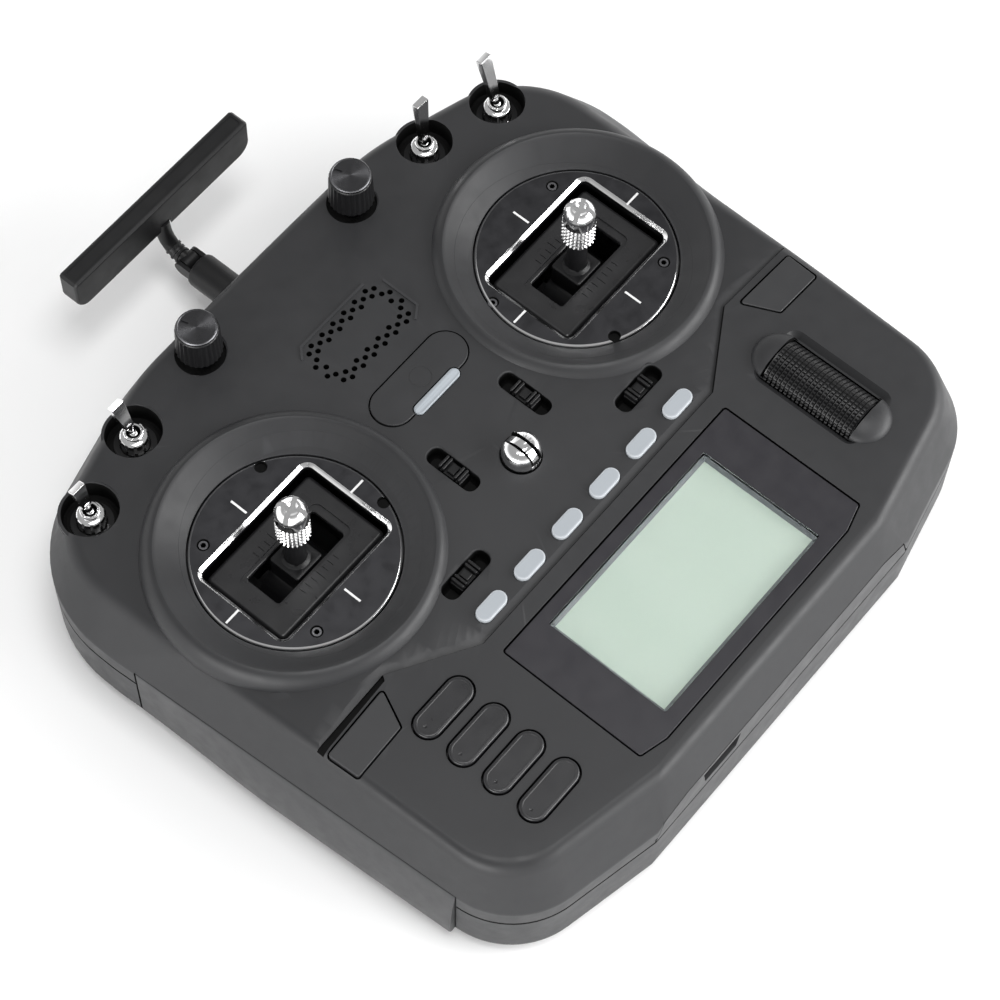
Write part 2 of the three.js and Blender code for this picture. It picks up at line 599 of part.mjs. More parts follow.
function makePot(side) {
  const x = side * DIAL.x;
  const collar = post(x, DIAL.y, 3.4, -14, 1.2, 14);
  const shaft = post(x, DIAL.y, 2.9, -14, 9, 12);
  return join(collar, shaft, box(x - 6, x + 6, DIAL.y - 6, DIAL.y + 6, -16, -8));
}

function makeKnob(side) {
  const flutes = 14;
  const points = [];
  for (let i = 0; i < flutes * 2; i += 1) {
    const a = i / flutes * Math.PI;
    const r = DIAL.r - (i % 2) * 0.45;
    points.push([r * Math.cos(a), r * Math.sin(a)]);
  }
  const ring = (k, z) => points.map(([px, py]) => [px * k, py * k, z]);
  const skirt = loft([ring(1, 1.9), ring(0.93, DIAL.top - 1.2)]);
  const cap = post(0, 0, 6.1, DIAL.top - 1.4, DIAL.top, 20, 5.8);
  const mark = box(-0.4, 0.4, 3.4, 5.4, DIAL.top - 0.5, DIAL.top + 1);
  const bore = post(0, 0, 3.2, -1, 9.4, 12);
  return cut(join(skirt, cap), mark, bore).rotate([0, 0, 18]).translate([side * DIAL.x, DIAL.y, 0]);
}

function makeRoller() {
  const drum = bar('y', [ROLLER.x, ROLLER.y, ROLLER.z], ROLLER.r, ROLLER.length, 28);
  return drum.add(bar('y', [ROLLER.x, ROLLER.y, ROLLER.z], 1.3, ROLLER.length + 5, 12));
}

// ---------------------------------------------------------------- buttons, keys, trims
// A key cap with a wider flange under the face, so that it can't fall out.
function keyCap(points, flange, top) {
  return join(prism(points, -4.6, top), prism(flange, -6.4, -4.4));
}

function powerOutline(margin, radius) {
  return rounded(0, POWER.y, POWER.length / 2 + margin, POWER.width / 2 + margin, radius, 5);
}

function lightOutline(margin, radius) {
  return rounded(0, LIGHT.y, LIGHT.length / 2 + margin, LIGHT.width / 2 + margin, radius, 5);
}

function makePowerButton() {
  const body = powerOutline(0, POWER.width / 2 - GAP);
  const flange = powerOutline(1, POWER.width / 2);
  const cap = join(prism(body, -3.1, 1.6), prism(flange, -4.8, -3));
  return cut(cap, prism(lightOutline(GAP, LIGHT.width / 2), -8, 6));
}

function makeLightBar() {
  const glow = prism(lightOutline(0, LIGHT.width / 2 - 0.1), -6, 2.4);
  return join(glow, box(-12, 12, LIGHT.y - 2, LIGHT.y + 2, -7.5, -5.9));
}

function makeShortcut(i) {
  const x = shortcutX(i);
  const halfY = SHORTCUT.width / 2;
  const shape = (m) => rounded(x, SHORTCUT.y, SHORTCUT.length / 2 + m, halfY + m, halfY + m - 0.05);
  return keyCap(shape(0), shape(0.9), 1.2);
}

function makeKey(i) {
  const halfY = KEY.width / 2;
  const shape = (m) => rounded(KEY.x, keyY(i), KEY.length / 2 + m, halfY + m, halfY + m - 0.05);
  const dimple = post(KEY.x - 7.6, keyY(i), 0.5, 0.3, 2, 10);
  return cut(keyCap(shape(0), shape(0.9), 0.7), dimple);
}

function makeCornerKey(side) {
  return keyCap(cornerKeyOutline(side, 0), cornerKeyOutline(side, 0.8), 0.1);
}

function makeTrim(t) {
  const z = faceZ(t.x, t.y);
  const alongX = t.along === 'x';
  const piece = (u0, u1, v, z0, z1) => (alongX ? box(t.x + u0, t.x + u1, t.y - v, t.y + v, z0, z1)
    : box(t.x - v, t.x + v, t.y + u0, t.y + u1, z0, z1));
  const base = piece(-4.2, 4.2, 2.3, -4.6, z - 0.6);
  const ridges = [-3.6, 2.4].map((u) => piece(u, u + 1.2, 2.3, z - 0.8, z + 1.1));
  return join(base, ...ridges, piece(-1.4, 1.4, 1.2, -8.2, -4));
}

function makeHook() {
  const base = faceZ(0, HOOK.y) + HOOK.height;
  const body = turned(0, HOOK.y, [[0, -0.3], [HOOK.r - 0.4, -0.3], [HOOK.r, 1], [HOOK.r, base - 2.4],
    [HOOK.r - 1, base - 0.7], [HOOK.r - 3, base], [0, base]], 20);
  const slot = box(-1.7, 1.7, HOOK.y - 8, HOOK.y + 8, base - 4, base + 2);
  const tongue = bar('x', [0, HOOK.y, base - 5.2], 4.6, 1.6, 20);
  return join(cut(body, slot), tongue.intersect(box(-1, 1, HOOK.y - 5, HOOK.y + 5, base - 6, base)),
    post(0, HOOK.y, 2.1, -12, 0, 12));
}

// ---------------------------------------------------------------- display, boards, speaker
function makeLens() {
  return prism(lensOutline(0), -LENS.thick, -0.15);
}

function makeLcd() {
  const body = box(-39, 39, -94.5, -48.5, -10.5, -5);
  return body.add(box(-GLASS.halfX, GLASS.halfX, GLASS.bottom, GLASS.top, -5.2, -2.9));
}

function makeMainBoard() {
  const board = box(-56, 56, -96, -24, -20, -18.4);
  const parts = [[-30, -70, 8, 8, 2], [10, -62, 6, 10, 2.4], [36, -40, 5, 5, 1.8], [-40, -40, 9, 4, 3]];
  const chips = parts.map(([x, y, hx, hy, h]) => box(x - hx, x + hx, y - hy, y + hy, -18.5, -18.4 + h));
  return join(board, ...chips);
}

function makeSpeaker() {
  const basket = turned(0, 49.5, [[0, -14], [7, -14], [7, -9.5], [12.8, -6], [12.8, -3], [0, -3]], 20);
  const cone = turned(0, 49.5, [[0, -6.5], [4, -6.3], [11.4, -2], [0, -2]], 20);
  return cut(basket, cone);
}

// ---------------------------------------------------------------- antenna
function makeAntennaBase() {
  const { z, stubR, stubEnd } = ANTENNA;
  const profile = [[0, 92.6], [stubR, 92.6], [stubR, stubEnd - 1], [stubR - 1, stubEnd], [0, stubEnd]];
  const stub = turned(0, 0, profile.map(([r, h]) => [r, h]), 32).rotate([-90, 0, 0]).translate([0, 0, z]);
  const shaft = bar('y', [0, 86, z], 3, 14, 20);
  const arm = (x0) => box(x0, x0 + 1.2, stubEnd - 1, 118.6, z - 2.4, z + 2.4);
  const fork = [arm(-4), arm(2.8)];
  return join(stub, shaft, ...fork, bar('x', [0, 116.4, z], 0.8, 6.6, 8));
}

// The neck swings on a cross pin in the fork and curves up to the bar.
function makeAntennaNeck() {
  const { z, neckR } = ANTENNA;
  const knuckle = bar('x', [0, 116.4, z], 2.5, 4.8, 14);
  const pinHole = bar('x', [0, 116.4, z], 1.1, 8, 8);
  const bend = [[117, z], [121, z + 0.3], [124.4, z + 2.6], [126.2, z + 6.5], [126.6, BAR.bottom + 3]];
  const path = new THREE.CatmullRomCurve3(bend.map(([y, pz]) => new THREE.Vector3(0, y, pz)));
  const round = new THREE.Shape();
  round.absarc(0, 0, neckR, 0, Math.PI * 2);
  const tube = new THREE.ExtrudeGeometry(round, { steps: 8, curveSegments: 5, extrudePath: path });
  return cut(join(toSolid(tube), knuckle), pinHole);
}

function makeBar() {
  const { halfX, thick, top, bottom } = BAR;
  const { barY: y, neckR } = ANTENNA;
  const front = [[-halfX, top], [-halfX, bottom + 5], [-halfX + 1.6, bottom + 1.5], [-halfX + 5, bottom],
    [halfX - 5, bottom], [halfX - 1.6, bottom + 1.5], [halfX, bottom + 5], [halfX, top]];
  const middle = (top + bottom) / 2;
  const slice = (inset) => front.map(([x, z]) => [x * (1 - inset / halfX), z - Math.sign(z - middle) * inset]);
  const solid = loft([[0.9, -thick / 2], [0, -thick / 2 + 0.9], [0, thick / 2 - 0.9], [0.9, thick / 2]]
    .map(([inset, dy]) => slice(inset).map(([x, z]) => [x, y + dy, z])));
  return cut(solid, post(0, 126.5, neckR + 0.4, bottom - 2, bottom + 3.6, 12));
}

// ---------------------------------------------------------------- assembly
const finish = {
  case: { color: 0x46474a, roughness: 0.62, metalness: 0 },
  grip: { color: 0x4a4b4d, roughness: 0.8, metalness: 0 },
  plate: { color: 0x2c2c2f, roughness: 0.4, metalness: 0.3 },
  black: { color: 0x141415, roughness: 0.5, metalness: 0 },
  chrome: { color: 0xd8d8d8, roughness: 0.12, metalness: 1 },
  lens: { color: 0x232328, roughness: 0.08, metalness: 0 },
  lcd: { color: 0xc2d4c5, roughness: 0.5, metalness: 0 },
  pale: { color: 0xb9c2cd, roughness: 0.4, metalness: 0 },
  board: { color: 0x1f5a34, roughness: 0.6, metalness: 0.1 },
  cell: { color: 0x2f5f9a, roughness: 0.5, metalness: 0.1 },
};

const group = new THREE.Group();

function add(name, solid, look) {
  const mesh = new THREE.Mesh(toGeometry(solid), new THREE.MeshStandardMaterial(finish[look]));
  mesh.name = name;
  group.add(mesh);
}

add('front_shell', makeFrontShell(), 'case');
add('rear_shell', makeRearShell(), 'case');
for (const [side, label] of [[-1, 'left'], [1, 'right']]) {
  add(`side_grip_${label}`, gripBody(side), 'grip');
  add(`rear_foot_${label}`, makeFoot(side), 'grip');
  add(`gimbal_plate_${label}`, makeGimbalPlate(side), 'plate');
  add(`gimbal_frame_${label}`, makeGimbalFrame(side), 'black');
  add(`gimbal_cradle_${label}`, makeGimbalYoke(side), 'plate');
  add(`stick_${label}`, makeStick(side), 'black');
  add(`stick_end_${label}`, makeStickEnd(side), 'chrome');
  add(`dial_pot_${label}`, makePot(side), 'chrome');
  add(`dial_knob_${label}`, makeKnob(side), 'black');
  add(`corner_key_${label}`, makeCornerKey(side), 'case');
}
for (const s of SWITCHES) {
  add(`switch_body_${s.name}`, makeSwitchBody(s), 'chrome');
  add(`switch_lever_${s.name}`, makeSwitchLever(s), 'chrome');
}
for (const t of TRIMS) add(t.name, makeTrim(t), 'black');
for (let i = 0; i < SHORTCUT.count; i += 1) add(`shortcut_button_${i + 1}`, makeShortcut(i), 'pale');
for (let i = 0; i < 4; i += 1) add(`menu_key_${i + 1}`, makeKey(i), 'case');
add('scroll_roller', makeRoller(), 'black');
add('power_button', makePowerButton(), 'case');
add('power_light', makeLightBar(), 'pale');
add('strap_hook', makeHook(), 'chrome');
add('display_lens', makeLens(), 'lens');
add('lcd_module', makeLcd(), 'lcd');
add('main_board', makeMainBoard(), 'board');
add('speaker', makeSpeaker(), 'black');
add('port_cover', makePortCover(), 'case');
add('port_board', makePortBoard(), 'board');
add('battery_pack', makeBatteryPack(), 'cell');
add('battery_door', makeBatteryDoor(), 'case');
add('module_bay_cover', makeModuleCover(), 'case');
add('antenna_base', makeAntennaBase(), 'black');
add('antenna_neck', makeAntennaNeck(), 'black');
add('antenna_bar', makeBar(), 'black');

const barBackY = ANTENNA.barY + BAR.thick / 2;
group.position.set(0, -(FRONT_Y + barBackY) / 2, -FOOT_Z);

export default group;
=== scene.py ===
"""Looks for the radio transmitter controller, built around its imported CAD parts.

Shapes are drawn in millimetres in the part's drawing frame: the keypad's face at z = 0, +Y towards
the antenna, +X towards the user's right. put() then moves each piece into the row frame, in metres.
"""
import math

import bmesh
import bpy
from mathutils import Matrix, Vector


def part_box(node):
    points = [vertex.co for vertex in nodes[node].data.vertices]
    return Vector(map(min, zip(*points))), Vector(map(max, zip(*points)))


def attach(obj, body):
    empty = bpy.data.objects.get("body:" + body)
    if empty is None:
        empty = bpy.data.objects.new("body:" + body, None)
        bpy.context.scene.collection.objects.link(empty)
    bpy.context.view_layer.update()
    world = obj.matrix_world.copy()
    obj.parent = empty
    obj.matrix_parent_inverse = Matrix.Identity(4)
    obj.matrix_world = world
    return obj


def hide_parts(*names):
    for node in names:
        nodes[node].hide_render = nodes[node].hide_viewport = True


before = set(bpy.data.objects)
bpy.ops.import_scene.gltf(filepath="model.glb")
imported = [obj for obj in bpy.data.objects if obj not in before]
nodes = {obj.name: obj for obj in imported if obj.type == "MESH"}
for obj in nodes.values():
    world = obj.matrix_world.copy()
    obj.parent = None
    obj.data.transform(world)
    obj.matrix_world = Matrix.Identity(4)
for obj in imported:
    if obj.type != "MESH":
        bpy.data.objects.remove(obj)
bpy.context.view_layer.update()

# ------------------------------------------------------------------ the drawing frame
FRONT_Y = -108.3
FOOT_Z = -48
SHIFT_Y = FRONT_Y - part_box("rear_shell")[0].y * 1000
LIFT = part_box("rear_foot_left")[0].z * 1000 - FOOT_Z
TO_ROW = Matrix.Scale(0.001, 4) @ Matrix.Translation((0, -SHIFT_Y, LIFT))


def span(node):
    """Lowest and highest corner of a CAD node, in the drawing frame."""
    low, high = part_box(node)
    back = TO_ROW.inverted()
    return back @ low, back @ high


def middle(node):
    low, high = span(node)
    return (low + high) / 2


# ------------------------------------------------------------------ dimensions
SEAM_Z = -25
BACK_Z = -47
BEVEL_FOOT = -18
LIP = 0.4
PORT_HINGE = (-107.2, -23.6)
GIMBAL_X = middle("gimbal_plate_right").x
GIMBAL_Y = middle("gimbal_plate_right").y
PLATE_TOP = span("gimbal_plate_right")[1].z
PIVOT_Z = -25
STICK_TOP = span("stick_end_right")[1].z
# Name, x, y, length of the lever above the case, and its lean in degrees.
SWITCHES = [("a", -89.1, 70.3, 9, 20), ("b", -63.6, 77.2, 10, 28), ("c", 63.6, 77.2, 19, 4),
            ("d", 89.1, 70.3, 18, 16)]
SWITCH_PIVOT = 1.6
DIAL_X = middle("dial_knob_right").x
DIAL_Y = middle("dial_knob_right").y
DIAL_TOP = span("dial_knob_right")[1].z
ROLLER = middle("scroll_roller")
ROLLER_R = 8.4
ROLLER_LENGTH = 31
STEP_LINE = [(-107, -27.7), (-75.5, -26.1), (-51, -41), (51, -41), (75.5, -26.1), (107, -27.4)]

# Corners of the face edge and the outer wall, right half from top to bottom: x, y, radius, arc steps.
FACE_EDGE = [(51, 88, 80, 6), (105.1, 73.5, 29.3, 16), (104.6, 20, 60, 2), (101.2, -91.2, 22, 16),
             (51.5, -101.6, 0, 0), (50.2, -101.8, 0, 0), (49, -101.8, 0, 0)]
WALL_EDGE = [(50, 94.5, 80, 6), (114.7, 77.1, 40, 16), (114.7, 40, 60, 2), (105.5, -97.6, 26, 16),
             (57.4, -108.3, 0, 0), (54.6, -108.3, 0, 0), (44.5, -108.3, 0, 0)]
# Right half of the sunken strip in the front wall that the port cover fills: x, z from its top down.
STRIP = [(44.5, -12.5), (54.6, -15.9), (57.4, -24.6)]
POCKET_Y = -106.2  # back of that strip
BAY = (0, 37, 25, 29)  # module bay: centre and half size
FLANGE_HEIGHT = 1.4
ANTENNA_Z = -32.5
ANTENNA_PIN = (0, 116.4, ANTENNA_Z)
SIDES = ((-1, "left"), (1, "right"))
TRIMS = [f"trim_{side}_{way}" for _, side in SIDES for way in ("vertical", "horizontal")]


def clamp(t):
    return min(1.0, max(0.0, t))


def ease(t):
    t = clamp(t)
    return t * t * (3 - 2 * t)


def face_z(x, y):
    """Height of the case's face: flat at the keypad, with a shallow crown above it."""
    fall = 0.0004 + 0.00016 * clamp((y - 20) / 50)
    return ease((y + 45) / 60) * (1.3 - fall * x * x) - 2 * ease((y - 62) / 27)


# ------------------------------------------------------------------ outlines
def circle(x, y, r, steps=32, start=0.0):
    step = 2 * math.pi / steps
    return [(x + r * math.cos(start + i * step), y + r * math.sin(start + i * step)) for i in range(steps)]


def rounded(x, y, half_x, half_y, r, steps=8):
    """Rounded rectangle, anticlockwise; a radius of half the width makes a stadium."""
    points = []
    for quarter, (sx, sy) in enumerate([(1, 1), (-1, 1), (-1, -1), (1, -1)]):
        for i in range(steps + 1):
            a = (quarter + i / steps) * math.pi / 2
            corner = (x + sx * (half_x - r), y + sy * (half_y - r))
            points.append((corner[0] + r * math.cos(a), corner[1] + r * math.sin(a)))
    return points


def grow(points, d):
    """The outline moved outwards by d. The points run anticlockwise."""
    moved = []
    for i, (x, y) in enumerate(points):
        ax, ay = points[i - 1]
        bx, by = points[(i + 1) % len(points)]
        u = Vector((y - ay, ax - x))
        v = Vector((by - y, x - bx))
        if u.length < 1e-9 or v.length < 1e-9:
            u = v = u if u.length > v.length else v
        u.normalize()
        v.normalize()
        out = (u + v).normalized()
        reach = d / max(0.4, out.dot(u))
        moved.append((x + out.x * reach, y + out.y * reach))
    return moved


def soft_corners(points, r, steps=5):
    """A polygon with each corner rounded to radius r."""
    result = []
    for i, p in enumerate(points):
        here = Vector(p)
        a = (Vector(points[i - 1]) - here).normalized()
        b = (Vector(points[(i + 1) % len(points)]) - here).normalized()
        half = math.acos(max(-1, min(1, a.dot(b)))) / 2
        start = here + a * r / math.tan(half)
        end = here + b * r / math.tan(half)
        for k in range(steps + 1):
            t = k / steps
            q = start * (1 - t) ** 2 + here * 2 * t * (1 - t) + end * t * t
            result.append((q.x, q.y))
    return result


def mirrored(corners):
    return list(corners) + [(-x, y, r, n) for x, y, r, n in reversed(corners)]


def outline(corners, inset=0.0, between=7):
    """Dense case outline, clockwise from the top right: arcs at its corners, its straights divided."""
    ring = mirrored(corners)
    moved = []
    for i, (x, y, r, n) in enumerate(ring):
        ax, ay = ring[i - 1][:2]
        bx, by = ring[(i + 1) % len(ring)][:2]
        u = Vector((x - ax, y - ay)).normalized()
        v = Vector((bx - x, by - y)).normalized()
        side = Vector((u.y + v.y, -u.x - v.x)).normalized()
        reach = inset / math.sqrt((1 + u.dot(v)) / 2)
        moved.append((x + side.x * reach, y + side.y * reach, max(0.0, r - inset), n))
    arcs = []
    for i, (x, y, r, n) in enumerate(moved):
        p = Vector((x, y))
        if n == 0:
            arcs.append([p])
            continue
        a = (Vector(moved[i - 1][:2]) - p).normalized()
        b = (Vector(moved[(i + 1) % len(moved)][:2]) - p).normalized()
        half = math.acos(max(-1, min(1, a.dot(b)))) / 2
        centre = p + (a + b).normalized() * r / math.sin(half)
        spoke = p + a * r / math.tan(half) - centre
        step = -(math.pi - 2 * half) / n
        arcs.append([centre + Matrix.Rotation(step * k, 2) @ spoke for k in range(n + 1)])
    points = []
    for i, arc in enumerate(arcs):
        points += arc
        following = arcs[(i + 1) % len(arcs)][0]
        gap = following - arc[-1]
        parts = parts_of(corners, i, between)
        points += [arc[-1] + gap * k / parts for k in range(1, parts)]
    return [(p.x, p.y) for p in points]


def parts_of(corners, index, between):
    """How many parts the straight after corner number index has, so that every outline matches its others."""
    ring = mirrored(corners)
    a = Vector(ring[index][:2])
    b = Vector(ring[(index + 1) % len(ring)][:2])
    return max(1, round((b - a).length / between))


def matched_outlines(inset):
    """The face edge and the wall edge with the same number of points, taken from the wall's straights."""
    both = []
    for corners in (FACE_EDGE, WALL_EDGE):
        ring = mirrored(corners)
        arcs_only = outline(corners, inset, between=1e9)
        points = []
        at = 0
        for i, (_, _, _, n) in enumerate(ring):
            arc = arcs_only[at:at + n + 1]
            at += n + 1
            points += arc
            after = Vector(arcs_only[at % len(arcs_only)])
            last = Vector(arc[-1])
            parts = parts_of(WALL_EDGE, i, 7)
            points += [tuple(last + (after - last) * k / parts) for k in range(1, parts)]
        both.append(points)
    return both


# ------------------------------------------------------------------ mesh building, in millimetres
def mesh_object(name, points, faces):
    mesh = bpy.data.meshes.new(name)
    mesh.from_pydata([tuple(p) for p in points], [], faces)
    bm = bmesh.new()
    bm.from_mesh(mesh)
    bmesh.ops.remove_doubles(bm, verts=bm.verts, dist=1e-4)
    bmesh.ops.recalc_face_normals(bm, faces=bm.faces)
    bm.to_mesh(mesh)
    bm.free()
    mesh.materials.append(None)
    mesh.materials.append(None)
    obj = bpy.data.objects.new(name, mesh)
    bpy.context.scene.collection.objects.link(obj)
    return obj


def dark(obj, low=-1e9, high=1e9):
    """Gives the faces between two heights the second material, the near black of painted shade in hollows."""
    for face in obj.data.polygons:
        face.material_index = 1 if low < face.center.z < high else 0
    return obj


def loft(name, rings, caps=True, closed=False):
    """A surface through rings with the same number of points; closed joins the last ring to the first."""
    count = len(rings[0])
    points = [p for ring in rings for p in ring]
    faces = []
    for k in range(len(rings) - (0 if closed else 1)):
        a0 = k * count
        b0 = (k + 1) % len(rings) * count
        for i in range(count):
            j = (i + 1) % count
            faces.append((a0 + i, a0 + j, b0 + j, b0 + i))
    if caps and not closed:
        last = (len(rings) - 1) * count
        faces += [tuple(range(count)), tuple(range(last, last + count))]
    return mesh_object(name, points, faces)


def flat(points, z):
    return [(x, y, z) for x, y in points]


def prism(points, low, high, name="prism"):
    return loft(name, [flat(points, low), flat(points, high)])


def lathe(name, profile, steps=96, x=0.0, y=0.0, closed=False):
    """A profile of (radius, z) turned about the Z axis through (x, y)."""
    rings = [flat(circle(x, y, max(r, 1e-5), steps), z) for r, z in profile]
    return loft(name, rings, caps=not closed, closed=closed)


def cap(name, points, low, top, edge=0.4, steps=3, flange=0.0):
    """A moulded cap with a rounded upper edge, and with a wider flange at its foot where one is given."""
    rings = []
    if flange:
        foot = grow(points, flange)
        rings += [flat(foot, low), flat(foot, low + FLANGE_HEIGHT), flat(points, low + FLANGE_HEIGHT)]
    else:
        rings.append(flat(points, low))
    for k in range(steps + 1):
        a = k / steps * math.pi / 2
        rings.append(flat(grow(points, -edge * (1 - math.cos(a))), top - edge + edge * math.sin(a)))
    return loft(name, rings)


def hole(points, low, top, flare=0.35):
    """A cutter for a hole whose mouth at height top is rounded outwards by flare."""
    rings = [flat(points, low)]
    for k in range(4):
        a = k / 3 * math.pi / 2
        rings.append(flat(grow(points, flare * (1 - math.cos(a))), top - flare + flare * math.sin(a)))
    rings.append(flat(grow(points, flare), top + 9))
    # The hole's wall below its rounded mouth is marked for painted shade.
    return dark(loft("cutter", rings), high=top - flare - 0.05)


def box(x0, x1, y0, y1, z0, z1):
    return prism([(x0, y0), (x1, y0), (x1, y1), (x0, y1)], z0, z1, "box")


def turn(obj, matrix):
    obj.data.transform(matrix)
    return obj


def placed(obj, centre, degrees, axis="Z"):
    """Turns the object about an axis through the origin, then moves it to centre."""
    return turn(obj, Matrix.Translation(centre) @ Matrix.Rotation(math.radians(degrees), 4, axis))


def fluted(name, profile, steps, x, y, depth):
    """A profile of (radius, z) turned about Z, with each point moved inwards by depth(i, radius, z)."""
    rings = []
    for r, z in profile:
        ring = []
        for i in range(steps):
            a = 2 * math.pi * i / steps
            rr = max(r - depth(i, r, z), 1e-5)
            ring.append((x + rr * math.cos(a), y + rr * math.sin(a), z))
        rings.append(ring)
    return loft(name, rings)


def rod(axis, centre, r, length, steps=32):
    obj = lathe("rod", [(r, -length / 2), (r, length / 2)], steps)
    if axis == "x":
        turn(obj, Matrix.Rotation(math.pi / 2, 4, "Y"))
    elif axis == "y":
        turn(obj, Matrix.Rotation(math.pi / 2, 4, "X"))
    return turn(obj, Matrix.Translation(centre))


def baked(obj):
    """Applies the object's modifiers and clears them."""
    depsgraph = bpy.context.evaluated_depsgraph_get()
    mesh = bpy.data.meshes.new_from_object(obj.evaluated_get(depsgraph))
    old = obj.data
    obj.modifiers.clear()
    obj.data = mesh
    bpy.data.meshes.remove(old)
    return obj


def combine(obj, tools, operation):
    for tool in tools:
        modifier = obj.modifiers.new("join", "BOOLEAN")
        modifier.solver = "MANIFOLD"
        modifier.operation = operation
        modifier.object = tool
    baked(obj)
    for tool in tools:
        bpy.data.meshes.remove(tool.data)
    return obj


def cut(obj, *tools):
    return combine(obj, tools, "DIFFERENCE")


def join(obj, *tools):
    return combine(obj, tools, "UNION")


def merged(name, objects):
    """Several separate shells as one object, without joining their surfaces."""
    bm = bmesh.new()
    for o in objects:
        bm.from_mesh(o.data)
        bpy.data.meshes.remove(o.data)
    mesh = bpy.data.meshes.new(name)
    bm.to_mesh(mesh)
    bm.free()
    obj = bpy.data.objects.new(name, mesh)
    bpy.context.scene.collection.objects.link(obj)
    return obj


def sweep(points, section):
    """A bar along (x, y) points: section gives (sideways, height) pairs for the place it is at."""
    rings = []
    for i, p in enumerate(points):
        here = Vector(p)
        before = (here - Vector(points[i - 1])).normalized() if i else None
        after = (Vector(points[i + 1]) - here).normalized() if i + 1 < len(points) else None
        way = ((before or after) + (after or before)).normalized()
        side = Vector((-way.y, way.x))
        reach = 1 / max(0.4, way.dot(after or before))
        ring = []
        for across, height in section(p):
            q = here + side * across * reach
            ring.append((q.x, q.y, height))
        rings.append(ring)
    return loft("bar", rings)


def divided(points, longest=4):
    """The polyline with extra points, so that it can follow the crown of the face."""
    result = [points[0]]
    for a, b in zip(points, points[1:]):
        parts = max(1, math.ceil(math.dist(a, b) / longest))
        (ax, ay), (bx, by) = a, b
        result += [(ax + (bx - ax) * k / parts, ay + (by - ay) * k / parts) for k in range(1, parts + 1)]
    return result


def put(obj, body, material, node=None, angle=34, name=None, bevel=0.0, inside=None):
    """Finishes a piece: softens it, moves it into the row frame, and hands it to its body."""
    if bevel:
        modifier = obj.modifiers.new("soft", "BEVEL")
        modifier.width = bevel
        modifier.segments = 2
        modifier.limit_method = "ANGLE"
        modifier.angle_limit = math.radians(38)
        baked(obj)
    obj.data.polygons.foreach_set("use_smooth", [True] * len(obj.data.polygons))
    obj.data.set_sharp_from_angle(angle=math.radians(angle))
    modifier = obj.modifiers.new("normals", "WEIGHTED_NORMAL")
    modifier.keep_sharp = True
    mesh = baked(obj).data
    mesh.transform(TO_ROW)
    # Faces marked by dark() take the inside material, painted shade where one is given.
    marked = [face.material_index if inside else 0 for face in mesh.polygons]
    mesh.materials.clear()
    mesh.materials.append(material)
    if inside:
        mesh.materials.append(inside)
    mesh.polygons.foreach_set("material_index", marked)
    obj.name = name or obj.name
    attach(obj, body)
    if node:
        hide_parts(*([node] if isinstance(node, str) else node))
    return obj


# ------------------------------------------------------------------ materials
class Nodes:
    """A material's node tree, with short calls to add and link its nodes."""

    def __init__(self, name):
        self.material = bpy.data.materials.new(name)
        self.material.use_nodes = True
        self.tree = self.material.node_tree
        self.shader = self.tree.nodes["Principled BSDF"]
        self.place = self.add("ShaderNodeTexCoord").outputs["Object"]

    def add(self, kind, **values):
        node = self.tree.nodes.new(kind)
        for key, value in values.items():
            if key in node.inputs:
                node.inputs[key].default_value = value
            else:
                setattr(node, key, value)
        return node

    def link(self, a, b):
        self.tree.links.new(a, b)

    def noise(self, size, detail=3, rough=0.55):
        """Noise with features about size millimetres across."""
        node = self.add("ShaderNodeTexNoise", Scale=1000 / size, Detail=detail, Roughness=rough)
        self.link(self.place, node.inputs["Vector"])
        return node.outputs["Fac"]

    def ramp(self, source, low, high, a, b):
        node = self.add("ShaderNodeMapRange")
        for socket, value in zip(("From Min", "From Max", "To Min", "To Max"), (low, high, a, b)):
            node.inputs[socket].default_value = value
        self.link(source, node.inputs["Value"])
        return node.outputs["Result"]

    def mix(self, factor, a, b):
        node = self.add("ShaderNodeMix", data_type="RGBA")
        self.link(factor, node.inputs["Factor"])
        for socket, colour in ((node.inputs[6], a), (node.inputs[7], b)):
            if isinstance(colour, tuple):
                socket.default_value = (*colour, 1)
            else:
                self.link(colour, socket)
        return node.outputs[2]

    def bump(self, height, strength, distance, under=None):
        node = self.add("ShaderNodeBump", Strength=strength, Distance=distance)
        self.link(height, node.inputs["Height"])
        if under is not None:
            self.link(under, node.inputs["Normal"])
        return node.outputs["Normal"]


def shade(colour, k):
    return tuple(min(1.0, c * k) for c in colour)


def plastic(name, colour, roughness, grain=0.45, depth=0.25, mottle=0.1, wear=0.35, specular=0.5):
    """Moulded plastic: slight colour mottling, a fine etched grain, and paler handled edges."""
    n = Nodes(name)
    base = n.mix(n.noise(18), shade(colour, 1 - mottle), shade(colour, 1 + mottle))
    worn = n.add("ShaderNodeNewGeometry").outputs["Pointiness"]
    edge = n.ramp(worn, 0.53, 0.62, 0, wear)
    base = n.mix(edge, base, shade(colour, 2.2))
    n.link(base, n.shader.inputs["Base Color"])
    n.link(n.ramp(n.noise(6), 0.3, 0.7, roughness - 0.05, roughness + 0.05), n.shader.inputs["Roughness"])
    n.shader.inputs["Specular IOR Level"].default_value = specular
    coarse = n.bump(n.noise(grain * 3, detail=2), depth * 0.5, 0.00006)
    n.link(n.bump(n.noise(grain, detail=2), depth, 0.00004, coarse), n.shader.inputs["Normal"])
    return n.material


def metal(name, colour, roughness, scratch=0.12, size=0.6):
    """Polished or anodised metal with faint brushing and smudges."""
    n = Nodes(name)
    n.shader.inputs["Metallic"].default_value = 1
    n.link(n.mix(n.noise(3), shade(colour, 0.94), shade(colour, 1.04)), n.shader.inputs["Base Color"])
    n.link(n.ramp(n.noise(5), 0.3, 0.7, roughness * 0.8, roughness * 1.3), n.shader.inputs["Roughness"])
    n.link(n.bump(n.noise(size, detail=4), scratch, 0.00002), n.shader.inputs["Normal"])
    return n.material


